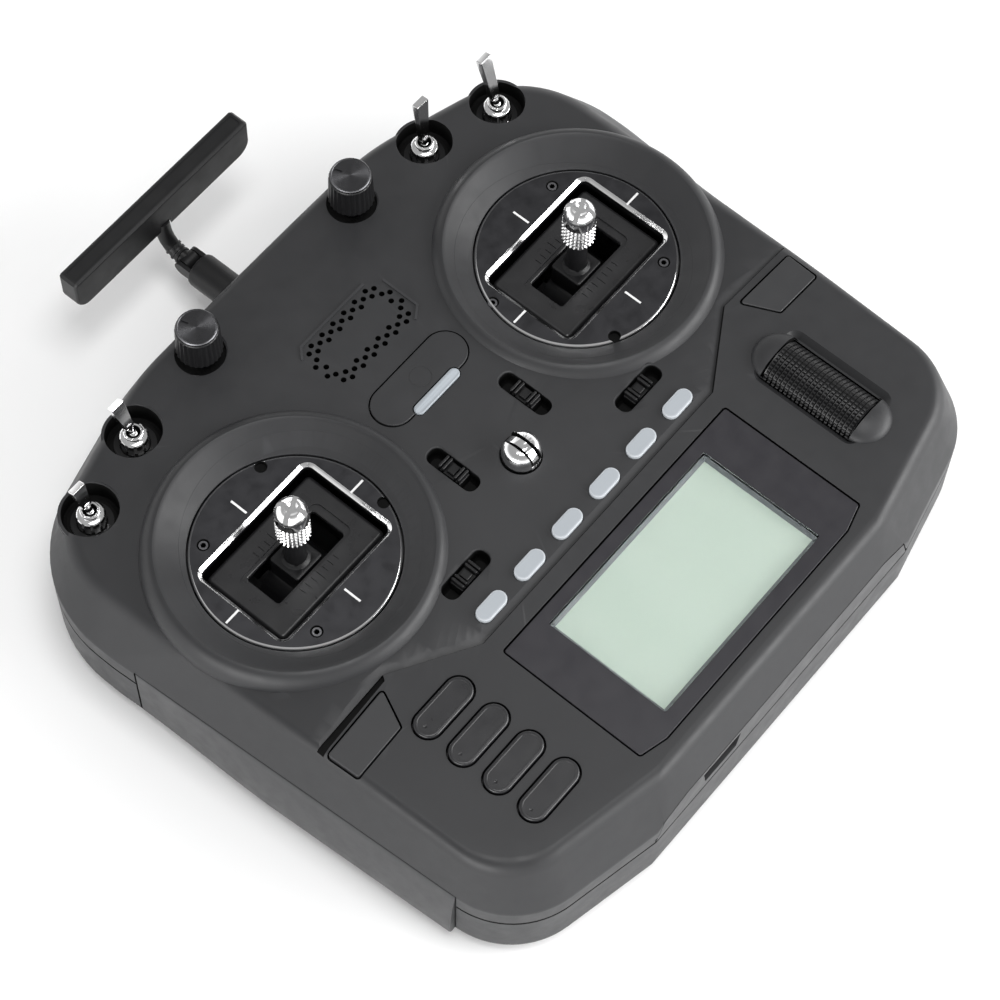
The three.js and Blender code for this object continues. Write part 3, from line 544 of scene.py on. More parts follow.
CHARCOAL = (0.021, 0.0213, 0.0228)
case_plastic = plastic("charcoal case", CHARCOAL, 0.47, grain=0.4, depth=0.25, specular=0.4)
wall_plastic = plastic("charcoal parts", CHARCOAL, 0.48, grain=0.4, depth=0.25)
grip_plastic = plastic("smooth grip", shade(CHARCOAL, 1.05), 0.42, grain=0.7, depth=0.12)
# Painted shade: a near black given to the walls of holes, slots and seams where shadow falls.
painted_pocket_shade = plastic("painted pocket shade", (0.0035, 0.0035, 0.0035), 0.7, grain=0.5, depth=0.1, wear=0,
                       specular=0.15)
black_plastic = plastic("black plastic", (0.0055, 0.0055, 0.006), 0.36, grain=0.5, depth=0.12, wear=0.25,
                        specular=0.35)
dark_plastic = plastic("deep black plastic", (0.004, 0.004, 0.0045), 0.45, grain=0.5, depth=0.15, wear=0.1)
satin_black = plastic("satin black moulding", (0.015, 0.015, 0.016), 0.3, grain=0.6, depth=0.06, wear=0.15)
antenna_plastic = plastic("antenna plastic", (0.009, 0.009, 0.0095), 0.42, grain=0.35, depth=0.15, wear=0.3,
                          specular=0.3)
key_plastic = plastic("key plastic", (0.015, 0.015, 0.0165), 0.32, grain=0.4, depth=0.15, wear=0.2)
roller_black = plastic("roller black", (0.005, 0.005, 0.0055), 0.34, grain=0.5, depth=0.1, wear=0.5)
button_grey = plastic("grey button", (0.33, 0.355, 0.38), 0.42, grain=0.5, depth=0.1, mottle=0.05,
                      wear=0.1)
button_rim = plastic("pale button rim", (0.42, 0.445, 0.47), 0.38, grain=0.6, depth=0.08, mottle=0.03,
                     wear=0)
light_bar = plastic("pale light bar", (0.28, 0.305, 0.33), 0.45, grain=1.5, depth=0.06, mottle=0.12, wear=0.3)
white_paint = plastic("white marks", (0.8, 0.8, 0.8), 0.5, grain=0.5, depth=0.1, mottle=0.03, wear=0)
lens_border = plastic("lens border", (0.019, 0.018, 0.022), 0.33, depth=0, mottle=0.03, wear=0)
lcd_edge = plastic("display edge grey", (0.16, 0.17, 0.18), 0.4, grain=1.5, depth=0.05, wear=0)
rubber = plastic("foot rubber", (0.015, 0.015, 0.0155), 0.8, grain=0.6, depth=0.4)
board = plastic("circuit board", (0.006, 0.03, 0.016), 0.5, grain=1.2, depth=0.2)
wrap = plastic("cell wrap", (0.03, 0.1, 0.28), 0.4, grain=2.5, depth=0.1)
chrome = metal("polished metal", (0.97, 0.97, 0.975), 0.12, scratch=0.02)
spun = metal("spun metal", (0.62, 0.62, 0.64), 0.25, scratch=0.08, size=0.4)
anodised = metal("dark anodised plate", (0.058, 0.058, 0.062), 0.38, scratch=0.08, size=0.5)
steel = metal("blackened screw", (0.2, 0.2, 0.21), 0.3)


def lcd_material():
    """A reflective display that is switched off: pale grey-green, slightly uneven, with a fine dot grid."""
    n = Nodes("display glass green")
    green = n.mix(n.noise(45, detail=1), (0.55, 0.64, 0.555), (0.625, 0.71, 0.63))
    n.link(green, n.shader.inputs["Base Color"])
    dots = n.add("ShaderNodeTexChecker", Scale=1000 / 0.9)
    n.link(n.place, dots.inputs["Vector"])
    n.link(n.bump(dots.outputs["Fac"], 0.05, 0.00002), n.shader.inputs["Normal"])
    n.link(n.ramp(n.noise(12), 0.3, 0.7, 0.34, 0.42), n.shader.inputs["Roughness"])
    return n.material


def glass_material():
    n = Nodes("clear window")
    n.link(n.mix(n.noise(20), (0.9, 0.93, 0.92), (0.97, 0.98, 0.98)), n.shader.inputs["Base Color"])
    n.shader.inputs["Transmission Weight"].default_value = 1
    n.shader.inputs["IOR"].default_value = 1.12
    n.link(n.ramp(n.noise(12), 0.3, 0.7, 0.02, 0.05), n.shader.inputs["Roughness"])
    n.link(n.bump(n.noise(25), 0.02, 0.00002), n.shader.inputs["Normal"])
    return n.material


lcd_green = lcd_material()
window_glass = glass_material()


# ------------------------------------------------------------------ case
def bevel_foot(x, y):
    """Lower edge of the shoulder: it rises along the middle of the front wall, over the port cover."""
    if y > FRONT_Y + 0.1:
        return BEVEL_FOOT
    side = abs(x)
    (x0, z0), (x1, z1), (x2, _) = STRIP
    if side <= x0:
        return z0
    if side <= x1:
        return z0 + (z1 - z0) * (side - x0) / (x1 - x0)
    return z1 + (BEVEL_FOOT - z1) * clamp((side - x1) / (x2 - x1))


def bezier(a, b, c, t):
    return tuple(p * (1 - t) ** 2 + q * 2 * t * (1 - t) + r * t * t for p, q, r in zip(a, b, c))


def upper_body(name, inset, drop, bottom, scales, soften):
    """The front half of the case as one closed body: crowned face, edge, sloping shoulder and wall."""
    edge, wall = matched_outlines(inset)
    centre_y = -5

    def on_face(p, k):
        x = p[0] * k
        y = centre_y + (p[1] - centre_y) * k
        return (x, y, face_z(x, y) - drop)

    rings = [[on_face(p, k) for p in edge] for k in scales]
    corner = [on_face(p, 1) for p in edge]
    foot = [(x, y, bevel_foot(x, y) - drop * 0.3) for x, y in wall]
    if not soften:
        return loft(name, rings + [corner, foot, [(x, y, bottom) for x, y in wall]])
    inner = [on_face(p, 0.974) for p in edge]
    lower = [tuple(c + (f - c) * 0.22 for c, f in zip(a, b)) for a, b in zip(corner, foot)]
    for t in (0, 0.17, 0.33, 0.5, 0.67, 0.83, 1):
        rings.append([bezier(a, b, c, t) for a, b, c in zip(inner, corner, lower)])
    upper = [tuple(f + (c - f) * 0.035 for c, f in zip(a, b)) for a, b in zip(corner, foot)]
    below = [(x, y, z - 0.6) for x, y, z in foot]
    for t in (0, 0.25, 0.5, 0.75, 1):
        rings.append([bezier(a, b, c, t) for a, b, c in zip(upper, foot, below)])
    rings.append([(x, y, bottom + LIP) for x, y in wall])
    rings.append([(x, y, bottom) for x, y in matched_outlines(inset + LIP)[1]])
    # The lip below the seam is marked for painted shade, a dark line between the two halves.
    return dark(loft(name, rings), high=bottom + LIP - 0.1)


def gimbal_rim(side):
    profile = [(28, -5), (43.4, -5), (43.4, -2.6), (43.1, -1.0), (42.5, 0.4), (41.7, 1.6), (40.8, 2.5),
               (39.9, 3.0), (39.2, 3.1), (38.6, 2.85), (38.1, 2.4), (31.2, -2.75), (30.7, -3.1), (28, -3.2)]
    return lathe("rim", profile, 160, side * GIMBAL_X, GIMBAL_Y, closed=True)


def dome(x, y, half_x, half_y, half_z, z):
    rings = []
    for k in range(1, 16):
        a = -math.pi / 2 + math.pi * k / 16
        r = math.cos(a)
        rings.append([(x + half_x * r * math.cos(b), y + half_y * r * math.sin(b), z + half_z * math.sin(a))
                      for b in (2 * math.pi * i / 40 for i in range(40))])
    return loft("dome", rings)


def corner_key_points(side, margin):
    far = 100.9 if side > 0 else 102.9
    points = [(far, -29.9), (79.0, -28.8), (84.2, -39.9), (far - 0.5, -40.6)]
    points = [(side * x, y) for x, y in points]
    if side < 0:
        points.reverse()
    return grow(soft_corners(points, 1.0), margin)


def lens_points(margin):
    points = [(-49.1, -46.8), (-49.1, -94.2), (-40.5, -96.5), (40.5, -96.5), (49.1, -94.2), (49.1, -46.8)]
    return grow(soft_corners(points, 0.8, 4), margin)


def key_points(node, margin, flange, steps, x=None):
    """Round-ended outline of a key's cap: the CAD node's box less the flange, on the box's middle or at x."""
    low, high = span(node)
    if x is None:
        x = (low.x + high.x) / 2
    half_x = (high.x - low.x) / 2 - flange + margin
    half_y = (high.y - low.y) / 2 - flange + margin
    return rounded(x, (low.y + high.y) / 2, half_x, half_y, half_y - 0.01, steps)


def shortcut_points(i, margin=0.0):
    return key_points(f"shortcut_button_{i}", margin, 0.9, 8)


def menu_points(i, margin=0.0):
    return key_points(f"menu_key_{i}", margin, 0.9, 12)


def power_points(margin=0.0):
    return key_points("power_button", margin, 1, 14, x=0)


def light_points(margin=0.0):
    return rounded(0, 18.6, 9.2 + margin, 1.7 + margin, 1.69 + margin, 8)


def trim_well(name, length=17.5, width=5.6):
    at = middle(name)
    half = (length / 2, width / 2) if name.endswith("horizontal") else (width / 2, length / 2)
    return rounded(at.x, at.y, half[0], half[1], width / 2 - 0.4, 6)


def grille_holes():
    """Round holes in zigzag rows above and below an empty middle, closed by five holes at each end."""
    centre_y = 47.8
    places = []
    for i in range(-6, 7):
        rows = (6.5,) if i % 2 == 0 else (5.2, 7.8)
        places += [(i * 2.36, sign * row) for row in rows for sign in (-1, 1)]
    for sign in (-1, 1):
        ends = ((14.2, 0), (14.2, 3.6), (14.2, -3.6), (16.2, 2.2), (16.2, -2.2))
        places += [(sign * x, y) for x, y in ends]
    # Each hole's wall is marked for painted shade.
    return [dark(prism(circle(x, centre_y + y, 0.85, 14), -4, 5)) for x, y in places]


def raised_line(points, width=1.1, height=0.42):
    """A low ridge that follows the crown of the face."""
    def section(p):
        top = face_z(*p) + height
        return [(-width / 2, -1.5), (-width / 2 + 0.2, top), (width / 2 - 0.2, top), (width / 2, -1.5)]
    return sweep(divided(points), section)


def step_groove():
    """The step between the keypad and the upper face: a riser in painted shade and a long slope below it."""
    def section(p):
        z = face_z(*p)
        return [(-0.1, 6), (-0.1, z - 0.85), (0.3, z - 0.85), (2.5, z + 0.02), (2.8, 6)]
    groove = sweep(divided(STEP_LINE), section)
    # The riser and the groove's floor are marked for painted shade, a thin dark line.
    for face in groove.data.polygons:
        face.material_index = int(abs(face.normal.z) < 0.2 or face.normal.z < -0.98)
    return groove


def strip_pocket(margin, low, y1):
    """Cutter for the sunken strip in the front wall, from z = low and back to y1."""
    (x0, z0), (x1, z1), (x2, z2) = STRIP
    flare = (z2 - low) * 0.32
    right = [(x0 + margin, z0 + margin), (x1 + margin, z1 + margin), (x2 + margin + flare, low)]
    points = right + [(-x, z) for x, z in reversed(right)]
    # The strip's faces are marked for painted shade.
    return dark(loft("cutter", [[(x, y, z) for x, z in points] for y in (-112, y1)]))


def grip_section(side, y, margin=0.0):
    """Section of the side grip at y, as points from its inner top round to its inner foot."""
    wall_x = 105.5 + 9.2 * (y + 97.6) / 137.6 - max(0, y - 20) * 0.01
    swell = 2.2 * ease((32 - y) / 50)
    top = -18 + margin
    low = -43 - margin
    ring = [(wall_x - 2 - margin, top), (wall_x - 2 - margin, low)]
    for k in range(13):
        t = k / 12
        out = 0.85 + 0.15 * t / 0.12
        if t > 0.12:
            out = 0.05 + 0.95 * math.sin(math.pi / 2 * min(1, (1 - t) / 0.85))
        ring.append((wall_x + 0.1 + swell * out + margin, low + t * (top - low)))
    return [(side * x, y, z) for x, z in ring]


def grip_body(name, side, margin=0.0):
    low_y = -78 - margin
    high_y = 32 + margin
    rings = [grip_section(side, low_y + (high_y - low_y) * k / 14, margin) for k in range(15)]
    return loft(name, rings)


def roller_slot(r, length):
    return rod("y", (ROLLER.x, ROLLER.y, ROLLER.z), r, length, 64)


def roller_ends():
    """The two half domes that close the roller's slot."""
    return [dome(ROLLER.x, ROLLER.y + end * 15.3, 8.3, 7.9, 3.9, -0.5) for end in (-1, 1)]


def shell_thickenings():
    """What is added to the hollow shell before its openings are cut."""
    extra = []
    for side in (-1, 1):
        extra.append(gimbal_rim(side))
        extra.append(prism(circle(side * DIAL_X, DIAL_Y, 9, 40), -5.5, -2.4))
    for _, x, y, _, _ in SWITCHES:
        extra.append(prism(circle(x, y, 9.4, 48), -14, -7.5))
        extra.append(prism(circle(x, y, 9.3, 48), -8, face_z(x, y) - 2.2))
    extra.append(prism(lens_points(1.5), -4.6, -1))
    extra.append(box(60.5, 82.5, -85, -42, -15.5, -1))
    extra.append(box(-50, 50, POCKET_Y, -97.5, -24.6, -9.8))
    extra.append(box(-56, 56, POCKET_Y, -97.5, -24.6, -13.5))
    extra += [prism(grow(trim_well(name), 1.2), -6.5, -0.8) for name in TRIMS]
    extra += roller_ends()
    extra.append(raised_line([(-17, 54.4), (-14, 57.5), (13.2, 57.5)]))
    extra.append(raised_line([(18, 54.2), (18, 41.2), (14, 38.4)]))
    return extra


def roller_valley():
    """The shallow hollow round the roller, less its two domes."""
    valley = rounded(ROLLER.x + 0.5, ROLLER.y, 8.6, 16.4, 1.5)
    mouth = grow(valley, 1.9)
    return cut(loft("cutter", [flat(valley, -1.5), flat(mouth, 0.02), flat(mouth, 6)]), *roller_ends())


def side_holes(side):
    """Gimbal well, dial hole, grip seat and corner key hole of one side."""
    well = [(0, -20), (30.4, -20), (30.4, -3.25), (31.2, -2.7), (38.1, 2.45), (38.1, 9), (0, 9)]
    return [lathe("cutter", well, 160, side * GIMBAL_X, GIMBAL_Y),
            hole(circle(side * DIAL_X, DIAL_Y, 7.5, 48), -3.5, face_z(DIAL_X, DIAL_Y), 0.4),
            rod("z", (side * DIAL_X, DIAL_Y, -5), 3.8, 6),
            # The grip's seat is marked for painted shade, a dark gap round the grip.
            dark(grip_body("cutter", side, 0.3)),
            hole(corner_key_points(side, 0.45), -12, 0.02, 0.1)]


def switch_holes(x, y):
    z = face_z(x, y)
    well = [(0, z - 8), (7.2, z - 8), (8.1, z - 7.4), (8.4, z - 6.2), (8.4, z - 0.5), (8.45, z - 0.2),
            (8.65, z), (8.65, 9), (0, 9)]
    # The well's wall below its rim is marked for painted shade.
    return [dark(lathe("cutter", well, 64, x, y), high=z - 0.55), rod("z", (x, y, -16), 3.3, 30, 24)]


def key_holes():
    """Openings for the display, the power button and the two groups of keys."""
    holes = [hole(lens_points(0.5), -2.3, 0.02, 0.1),
             box(-36, 36, -93, -49.5, -6, 1),
             hole(power_points(0.42), -8, face_z(0, 25), 0.1),
             hole(light_points(0.3), -8, face_z(0, 18), 0.05)]
    holes += [hole(shortcut_points(i, 0.2), -8, 0.03, 0.05) for i in range(1, 7)]
    holes += [hole(menu_points(i, 0.5), -8, 0.02, 0.2) for i in range(1, 5)]
    return holes


def trim_holes(name):
    """A trim's soft-edged well, and the slot in its floor for the rocker's tail."""
    at = middle(name)
    z = face_z(at.x, at.y)
    well = trim_well(name)
    steps = ((-0.9, -5), (-0.3, -4.4), (0, -3.4), (0, -0.4), (0.15, -0.1), (0.5, 0.05))
    rings = [flat(grow(well, wider), z + up) for wider, up in steps]
    rings.append(flat(grow(well, 0.5), 6))
    half_x, half_y = (4, 1.6) if name.endswith("horizontal") else (1.6, 4)
    # The well below its rim is marked for painted shade.
    return [dark(loft("cutter", rings), high=z - 0.3),
            box(at.x - half_x, at.x + half_x, at.y - half_y, at.y + half_y, -9, -1)]


def hook_holes():
    y = middle("strap_hook").y
    return [hole(circle(0, y, 6.1, 40), -0.6, face_z(0, y), 0.3), rod("z", (0, y, -4), 2.5, 9)]


def roller_holes():
    # The roller's slot is marked for painted shade.
    return [dark(roller_slot(ROLLER_R + 0.55, ROLLER_LENGTH + 0.8)),
            dark(box(ROLLER.x - 8.2, ROLLER.x + 8.2, ROLLER.y - 15.8, ROLLER.y + 15.8, -2, 9)),
            roller_slot(1.6, ROLLER_LENGTH + 6)]


def port_holes():
    """The strip's pocket, the opening behind it, and the relief round the cover's hinge."""
    return [strip_pocket(0.3, -26, POCKET_Y),
            box(-50, 50, -107, -97, -22.6, -14.8),
            # The hinge relief is marked for painted shade.
            dark(rod("x", (0, *PORT_HINGE), 1.6, 2 * STRIP[2][0] + 1, 32))]


def make_front_shell():
    scales = [0.03, 0.12, 0.24, 0.36, 0.48, 0.6, 0.7, 0.79, 0.87, 0.93]
    shell = upper_body("front_case", 0, 0, SEAM_Z + 0.15, scales, True)
    cut(shell, upper_body("room", 2.5, 2.6, SEAM_Z - 5, [0.1, 0.5], False))
    join(shell, *shell_thickenings())
    holes = grille_holes() + [roller_valley()]
    for side in (-1, 1):
        holes += side_holes(side)
    for _, x, y, _, _ in SWITCHES:
        holes += switch_holes(x, y)
    holes += key_holes()
    for name in TRIMS:
        holes += trim_holes(name)
    holes += hook_holes() + roller_holes() + port_holes()
    holes.append(step_groove())
    recess = [(-105.4, -26.6), (-105.4, -29.0), (-76.6, -27.6), (-75.4, -25.8)]
    holes.append(hole(soft_corners(recess, 0.3), -2.2, 0.0, 0.1))
    cut(shell, *holes)
    put(shell, "case", case_plastic, "front_shell", angle=30, inside=painted_pocket_shade)


def screw_places(side):
    """The four screws on one side of the back."""
    return [(side * (88 if abs(y) > 40 else 96), y) for y in (-88, -20, 30, 80)]


def back_holes():
    """Door and bay openings, antenna bore, grip and foot seats, and screw holes."""
    door_y = middle("battery_door").y
    foot = middle("rear_foot_right")
    screw_hole = [(0, -44), (2.9, -44), (2.9, -46.6), (3.3, -47.1), (3.3, -49), (0, -49)]
    holes = [prism(rounded(0, door_y, 42.3, 25.3, 4), -50, -40),
             prism(rounded(*BAY, 2.5), -50, BACK_Z + 14),
             prism(rounded(*BAY[:2], 26.8, 30.8, 3.5), -50, -44.9),
             rod("y", (0, 96, ANTENNA_Z), 5.8, 16, 48),
             rod("y", (0, 90, ANTENNA_Z), 3.4, 30, 32)]
    for side in (-1, 1):
        # The grip's seat is marked for painted shade.
        holes.append(dark(grip_body("cutter", side, 0.3)))
        holes.append(prism(rounded(side * foot.x, foot.y, 5.3, 42.3, 4.8), -50, -46.2))
        holes += [lathe("cutter", screw_hole, 32, x, y) for x, y in screw_places(side)]
    return holes


def make_rear_shell():
    def ring(inset, z):
        return flat(outline(WALL_EDGE, inset), z)
    seam = SEAM_Z - 0.15
    edge = [(LIP, seam), (0, seam - LIP), (0, -41.5), (0.25, -43.2), (0.9, -44.6), (2.0, -45.9), (3.4, -46.7),
            (5, BACK_Z)]
    # The lip at the seam is marked for painted shade.
    shell = dark(loft("rear_case", [ring(*place) for place in edge]), low=seam - LIP + 0.1)
    cut(shell, loft("room", [ring(2.4, SEAM_Z + 5), ring(2.4, -41.5), ring(5.5, -44.6)]))
    join(shell, prism(rounded(*BAY[:2], 27.4, 31.4, 3), -46.8, -29))
    cut(shell, *back_holes())
    put(shell, "case", case_plastic, "rear_shell", angle=30, inside=painted_pocket_shade)


def make_case_screws():
    profile = [(0, -45.8), (2.3, -45.8), (2.6, -45.5), (2.6, -44.1), (0, -44.1)]
    for side, label in SIDES:
        for i, (x, y) in enumerate(screw_places(side)):
            head = lathe("screw", profile, 32, x, y)
            cut(head, prism(circle(x, y, 1.3, 6), -47, -44.9))
            put(head, "case", steel, name=f"case_screw_{label}_{i + 1}")


def make_grips():
    for side, label in SIDES:
        grip = grip_body("grip_panel_" + label, side)
        put(grip, "case", grip_plastic, f"side_grip_{label}", bevel=0.5)


def make_port_cover():
    points = STRIP + [(-x, z) for x, z in reversed(STRIP)]
    cover = loft("port_flap", [[(x, y, z) for x, z in points] for y in (FRONT_Y, FRONT_Y + 1.8)])
    notch = soft_corners([(-37.5, -14.2), (-36.1, -21.3), (-22.4, -21.3), (-21, -14.2)], 0.6)
    cut(cover, loft("cutter", [[(x, y, z) for x, z in notch] for y in (-110, -104)]))
    join(cover, rod("x", (0, *PORT_HINGE), 0.9, 96, 16))
    put(cover, "port_flap", wall_plastic, "port_cover", bevel=0.2)


def make_back_covers():
    """The two lids, each drawn face up and then turned over into the back."""
    door_y = middle("battery_door").y
    panel = cap("battery_lid", rounded(0, door_y, 42, 25, 3.7), 0, 2, 0.5)
    placed(panel, (0, 0, BACK_Z + 2), 180, "Y")
    ribs = [cap("rib", rounded(0, door_y + 11 + i * 2.4, 9, 0.6, 0.55), 46.6, 47.5, 0.3) for i in range(5)]
    for rib in ribs:
        turn(rib, Matrix.Scale(-1, 4, (0, 0, 1)))
        rib.data.flip_normals()
    put(merged("battery_lid", [panel, *ribs]), "battery_lid", wall_plastic, "battery_door")
    cover = cap("module_lid", rounded(*BAY[:2], 26.5, 30.5, 3.2), 0, 1.8, 0.5)
    placed(cover, (0, 0, BACK_Z + 1.8), 180, "Y")
    grooves = [prism(rounded(0, BAY[1] + k * 8, 19, 0.7, 0.6), -48, -46.5) for k in range(-2, 3)]
    put(cut(cover, *grooves), "module_lid", wall_plastic, "module_bay_cover")


# ------------------------------------------------------------------ gimbals
def bright_bevel(name, inner, outer, low, top):
    """A narrow polished edge between two outlines: a slope that rounds over at the top."""
    rings = [flat(inner, low), flat(grow(outer, -0.45), top - 0.3), flat(grow(outer, -0.1), top - 0.09),
             flat(outer, top), flat(outer, top - 0.2), flat(grow(inner, 0.06), low - 0.2)]
    return loft(name, rings, closed=True)


def make_gimbal(side, label):
    x = side * GIMBAL_X
    top = PLATE_TOP
    screws = [(-15.1, 20.7), (-14.6, -20.7)] if side < 0 else [(14.3, 20.9), (15.1, -20.5), (-27.5, 9)]
    empty = [(13.4, 24.7), (27.2, -9)] if side < 0 else [(-13.5, -25)]
    bore = [(0, -4.3), (1.75, -4.3), (1.75, top - 0.15), (1.95, top + 0.05), (1.95, 2), (0, 2)]

    def bores(places):
        return [lathe("cutter", bore, 32, x + dx, GIMBAL_Y + dy) for dx, dy in places]

    face = [(0, top - 2.4), (30, top - 2.4), (30, top - 0.75), (29.3, top), (0, top)]
    plate = lathe("plate", face, 160, x, GIMBAL_Y)
    opening = rounded(x, GIMBAL_Y, 22.6, 15.6, 2.2)
    wide = grow(opening, 1.15)
    window = loft("cutter", [flat(opening, -9), flat(opening, top - 0.9), flat(wide, top), flat(wide, 2)])
    # The screw bores are marked for painted shade.
    cut(plate, window, *(dark(tool) for tool in bores(screws + empty)))
    put(plate, "case", anodised, f"gimbal_plate_{label}", angle=25,
        name=f"gimbal_face_{label}", inside=painted_pocket_shade)
    edge = bright_bevel(f"plate_opening_edge_{label}", grow(opening, 0.02), wide, top - 0.9, top + 0.03)
    put(edge, "case", chrome, angle=60)
    rim = [(30.02, top - 0.74), (29.85, top - 0.38), (29.6, top - 0.16), (29.25, top + 0.03),
           (29.25, top - 0.3), (29.8, top - 0.9)]
    ring = lathe(f"plate_rim_{label}", rim, 160, x, GIMBAL_Y, closed=True)
    put(cut(ring, *bores(empty)), "case", chrome, angle=60)
    make_plate_marks(label, x)
    make_plate_screws(label, x, screws)
    make_cradle(label, x)
    make_stick(label, x)


def make_plate_marks(label, x):
    """The four white lines that point at the stick's centre."""
    low = PLATE_TOP - 0.1
    high = PLATE_TOP + 0.02
    marks = []
    for sign in (-1, 1):
        mark_x = x + sign * 26.1
        mark_y = GIMBAL_Y + sign * 21.0
        marks.append(box(mark_x - 2.6, mark_x + 2.6, GIMBAL_Y - 0.33, GIMBAL_Y + 0.33, low, high))
        marks.append(box(x - 0.33, x + 0.33, mark_y - 2.9, mark_y + 2.9, low, high))
    put(merged(f"plate_marks_{label}", marks), "case", white_paint)


def make_plate_screws(label, x, places):
    profile = [(0, -5.1), (1.6, -5.1), (1.6, -3.4), (1.35, -3.1), (0, -3.1)]
    for i, (dx, dy) in enumerate(places):
        at = (x + dx, GIMBAL_Y + dy)
        head = lathe("head", profile, 32, *at)
        cut(head, prism(circle(*at, 0.85, 6), -4.3, -3))
        put(head, "case", steel, name=f"plate_screw_{label}_{i + 1}")


def make_cradle(label, x):
    """The carrier behind the plate's opening: a slotted, dished top on four arms, with scale lines."""
    cradle = cap("slab", rounded(x, GIMBAL_Y, 21.6, 14.4, 1.6), -22, -6.2, 1.3, 5)
    arms = []
    for s in (-1, 1):
        x0 = x + s * 20.6 - 1
        y0 = GIMBAL_Y + s * 12.2 - 1
        arms.append(box(x0, x0 + 2, GIMBAL_Y - 6, GIMBAL_Y + 6, -28.5, -15))
        arms.append(rod("x", (x + s * 23, GIMBAL_Y, PIVOT_Z), 2, 6.4))
        arms.append(box(x - 5, x + 5, y0, y0 + 2, -29, -15))
    cut(cradle, box(x - 19.6, x + 19.6, GIMBAL_Y - 12.4, GIMBAL_Y + 12.4, -30, -8.3))
    join(cradle, *arms)
    slot = rounded(x, GIMBAL_Y, 14, 6, 1.0)
    dish = rounded(x, GIMBAL_Y, 16.4, 7.1, 2.2)
    opening = [flat(slot, -12), flat(slot, -6.9), flat(grow(slot, 0.25), -6.72), flat(dish, -6.7),
               flat(dish, -3)]
    tools = [loft("cutter", opening), rod("y", (x, GIMBAL_Y, PIVOT_Z), 2.3, 40)]
    for k in range(-3, 4):
        half = 1.7 if k == 0 else 1.1
        for s in (-1, 1):
            line_x = x + k * 2.3
            line_y = GIMBAL_Y + s * (7.6 + half)
            tools.append(box(line_x - 0.12, line_x + 0.12, line_y - half, line_y + half, -6.5, -5))
    cut(cradle, *tools)
    put(cradle, f"cradle_{label}", satin_black, f"gimbal_cradle_{label}",
        name=f"cradle_slide_{label}", bevel=0.12)


def make_stick(label, x):
    """The hub that fills the cradle's slot, the stem, and the turned end on it."""
    at = (x, GIMBAL_Y, PIVOT_Z)
    hub = rod("y", at, 12, 10.6, 96)
    combine(hub, [box(x - 13, x + 13, 0, 40, -31, -5)], "INTERSECT")
    skirt = cap("skirt", rounded(x, GIMBAL_Y, 5.4, 5.3, 0.8), -16, -6.6, 0.6)
    stem = [(0, -10), (4.4, -10), (4.4, -6.9), (4.1, -6.3), (3.4, -5.9), (3.15, -5), (3.0, -0.6), (2.9, 5.8),
            (0, 5.8)]
    join(hub, skirt, rod("y", at, 2, 26.6), lathe("stem", stem, 48, x, GIMBAL_Y))
    put(hub, f"stick_assembly_{label}", black_plastic, f"stick_{label}",
        name=f"stick_hub_{label}", bevel=0.15)
    end = make_stick_end("stick_grip_" + label, x)
    put(end, f"stick_assembly_{label}", chrome, f"stick_end_{label}", angle=28)


def make_stick_end(name, x):
    """The turned end: a tapered foot, a knurled barrel cut by rings, and a crown of four prongs."""
    profile = [(0, 6.0), (3.1, 6.0), (3.3, 6.3), (3.4, 7.6), (3.9, 8.4)]
    z = 8.6
    while z < 17.5:
        profile += [(4.2, z), (4.95, z + 0.35), (4.95, z + 0.8), (4.2, z + 1.65)]
        z += 1.8
    top = STICK_TOP
    profile += [(4.5, z), (4.85, z + 0.4), (4.8, top - 3.4), (4.5, top - 2.2), (3.9, top - 1.1),
                (3.2, top - 0.3), (2.6, top), (2.0, top - 0.2), (1.4, top - 1.4), (0, top - 1.8)]

    def knurl(i, r, h):
        return 0.42 if 8.6 < h < z and r > 4.6 and i % 4 in (0, 1) else 0

    end = fluted(name, profile, 96, x, GIMBAL_Y, knurl)
    slots = []
    for angle in (20, 110):
        slots.append(placed(box(-8, 8, -0.75, 0.75, top - 2.4, top + 2), (x, GIMBAL_Y, 0), angle))
    return cut(end, *slots)


# ------------------------------------------------------------------ switches, dials, roller
def make_switch(name, x, y, length, lean):
    """A toggle: bush whose bore is painted shade, notched ring nut and can in one piece, a washer, and the
    lever.
    """
    rim = face_z(x, y)
    top = rim - 0.4
    floor = rim - 8
    profile = [(0, floor - 14), (3, floor - 14), (3, top - 0.7), (2.9, top - 0.2), (2.65, top), (0, top)]
    bush = lathe("bush", profile, 64, x, y)
    bore = [(0, top - 7), (2.15, top - 7), (2.15, top + 2), (0, top + 2)]
    # The bore is marked for painted shade.
    cut(bush, dark(lathe("cutter", bore, 48, x, y)))
    profile = [(2.8, floor + 0.2), (4.3, floor + 0.2), (4.3, top - 2.5), (4.1, top - 2.1), (3.5, top - 1.7),
               (2.8, top - 1.7)]
    nut = lathe("nut", profile, 64, x, y, closed=True)
    notches = []
    for k in range(10):
        notches.append(placed(box(3.95, 5, -0.45, 0.45, floor, top), (x, y, 0), 36 * k + 12))
    cut(nut, *notches)
    can = box(x - 4.2, x + 4.2, y - 4.2, y + 4.2, floor - 22, floor - 12)
    body = merged(f"switch_bush_{name}", [bush, nut, can])
    put(body, "case", chrome, f"switch_body_{name}", bevel=0.08, inside=painted_pocket_shade)
    profile = [(4.5, floor + 0.05), (6.2, floor + 0.05), (6.2, floor + 0.5), (4.5, floor + 0.5)]
    put(lathe(f"switch_washer_{name}", profile, 48, x, y, closed=True), "case", black_plastic)
    lever = make_lever(f"switch_bat_{name}", x, y, top, length, lean)
    put(lever, f"lever_{name}", chrome, f"switch_lever_{name}", bevel=0.1)


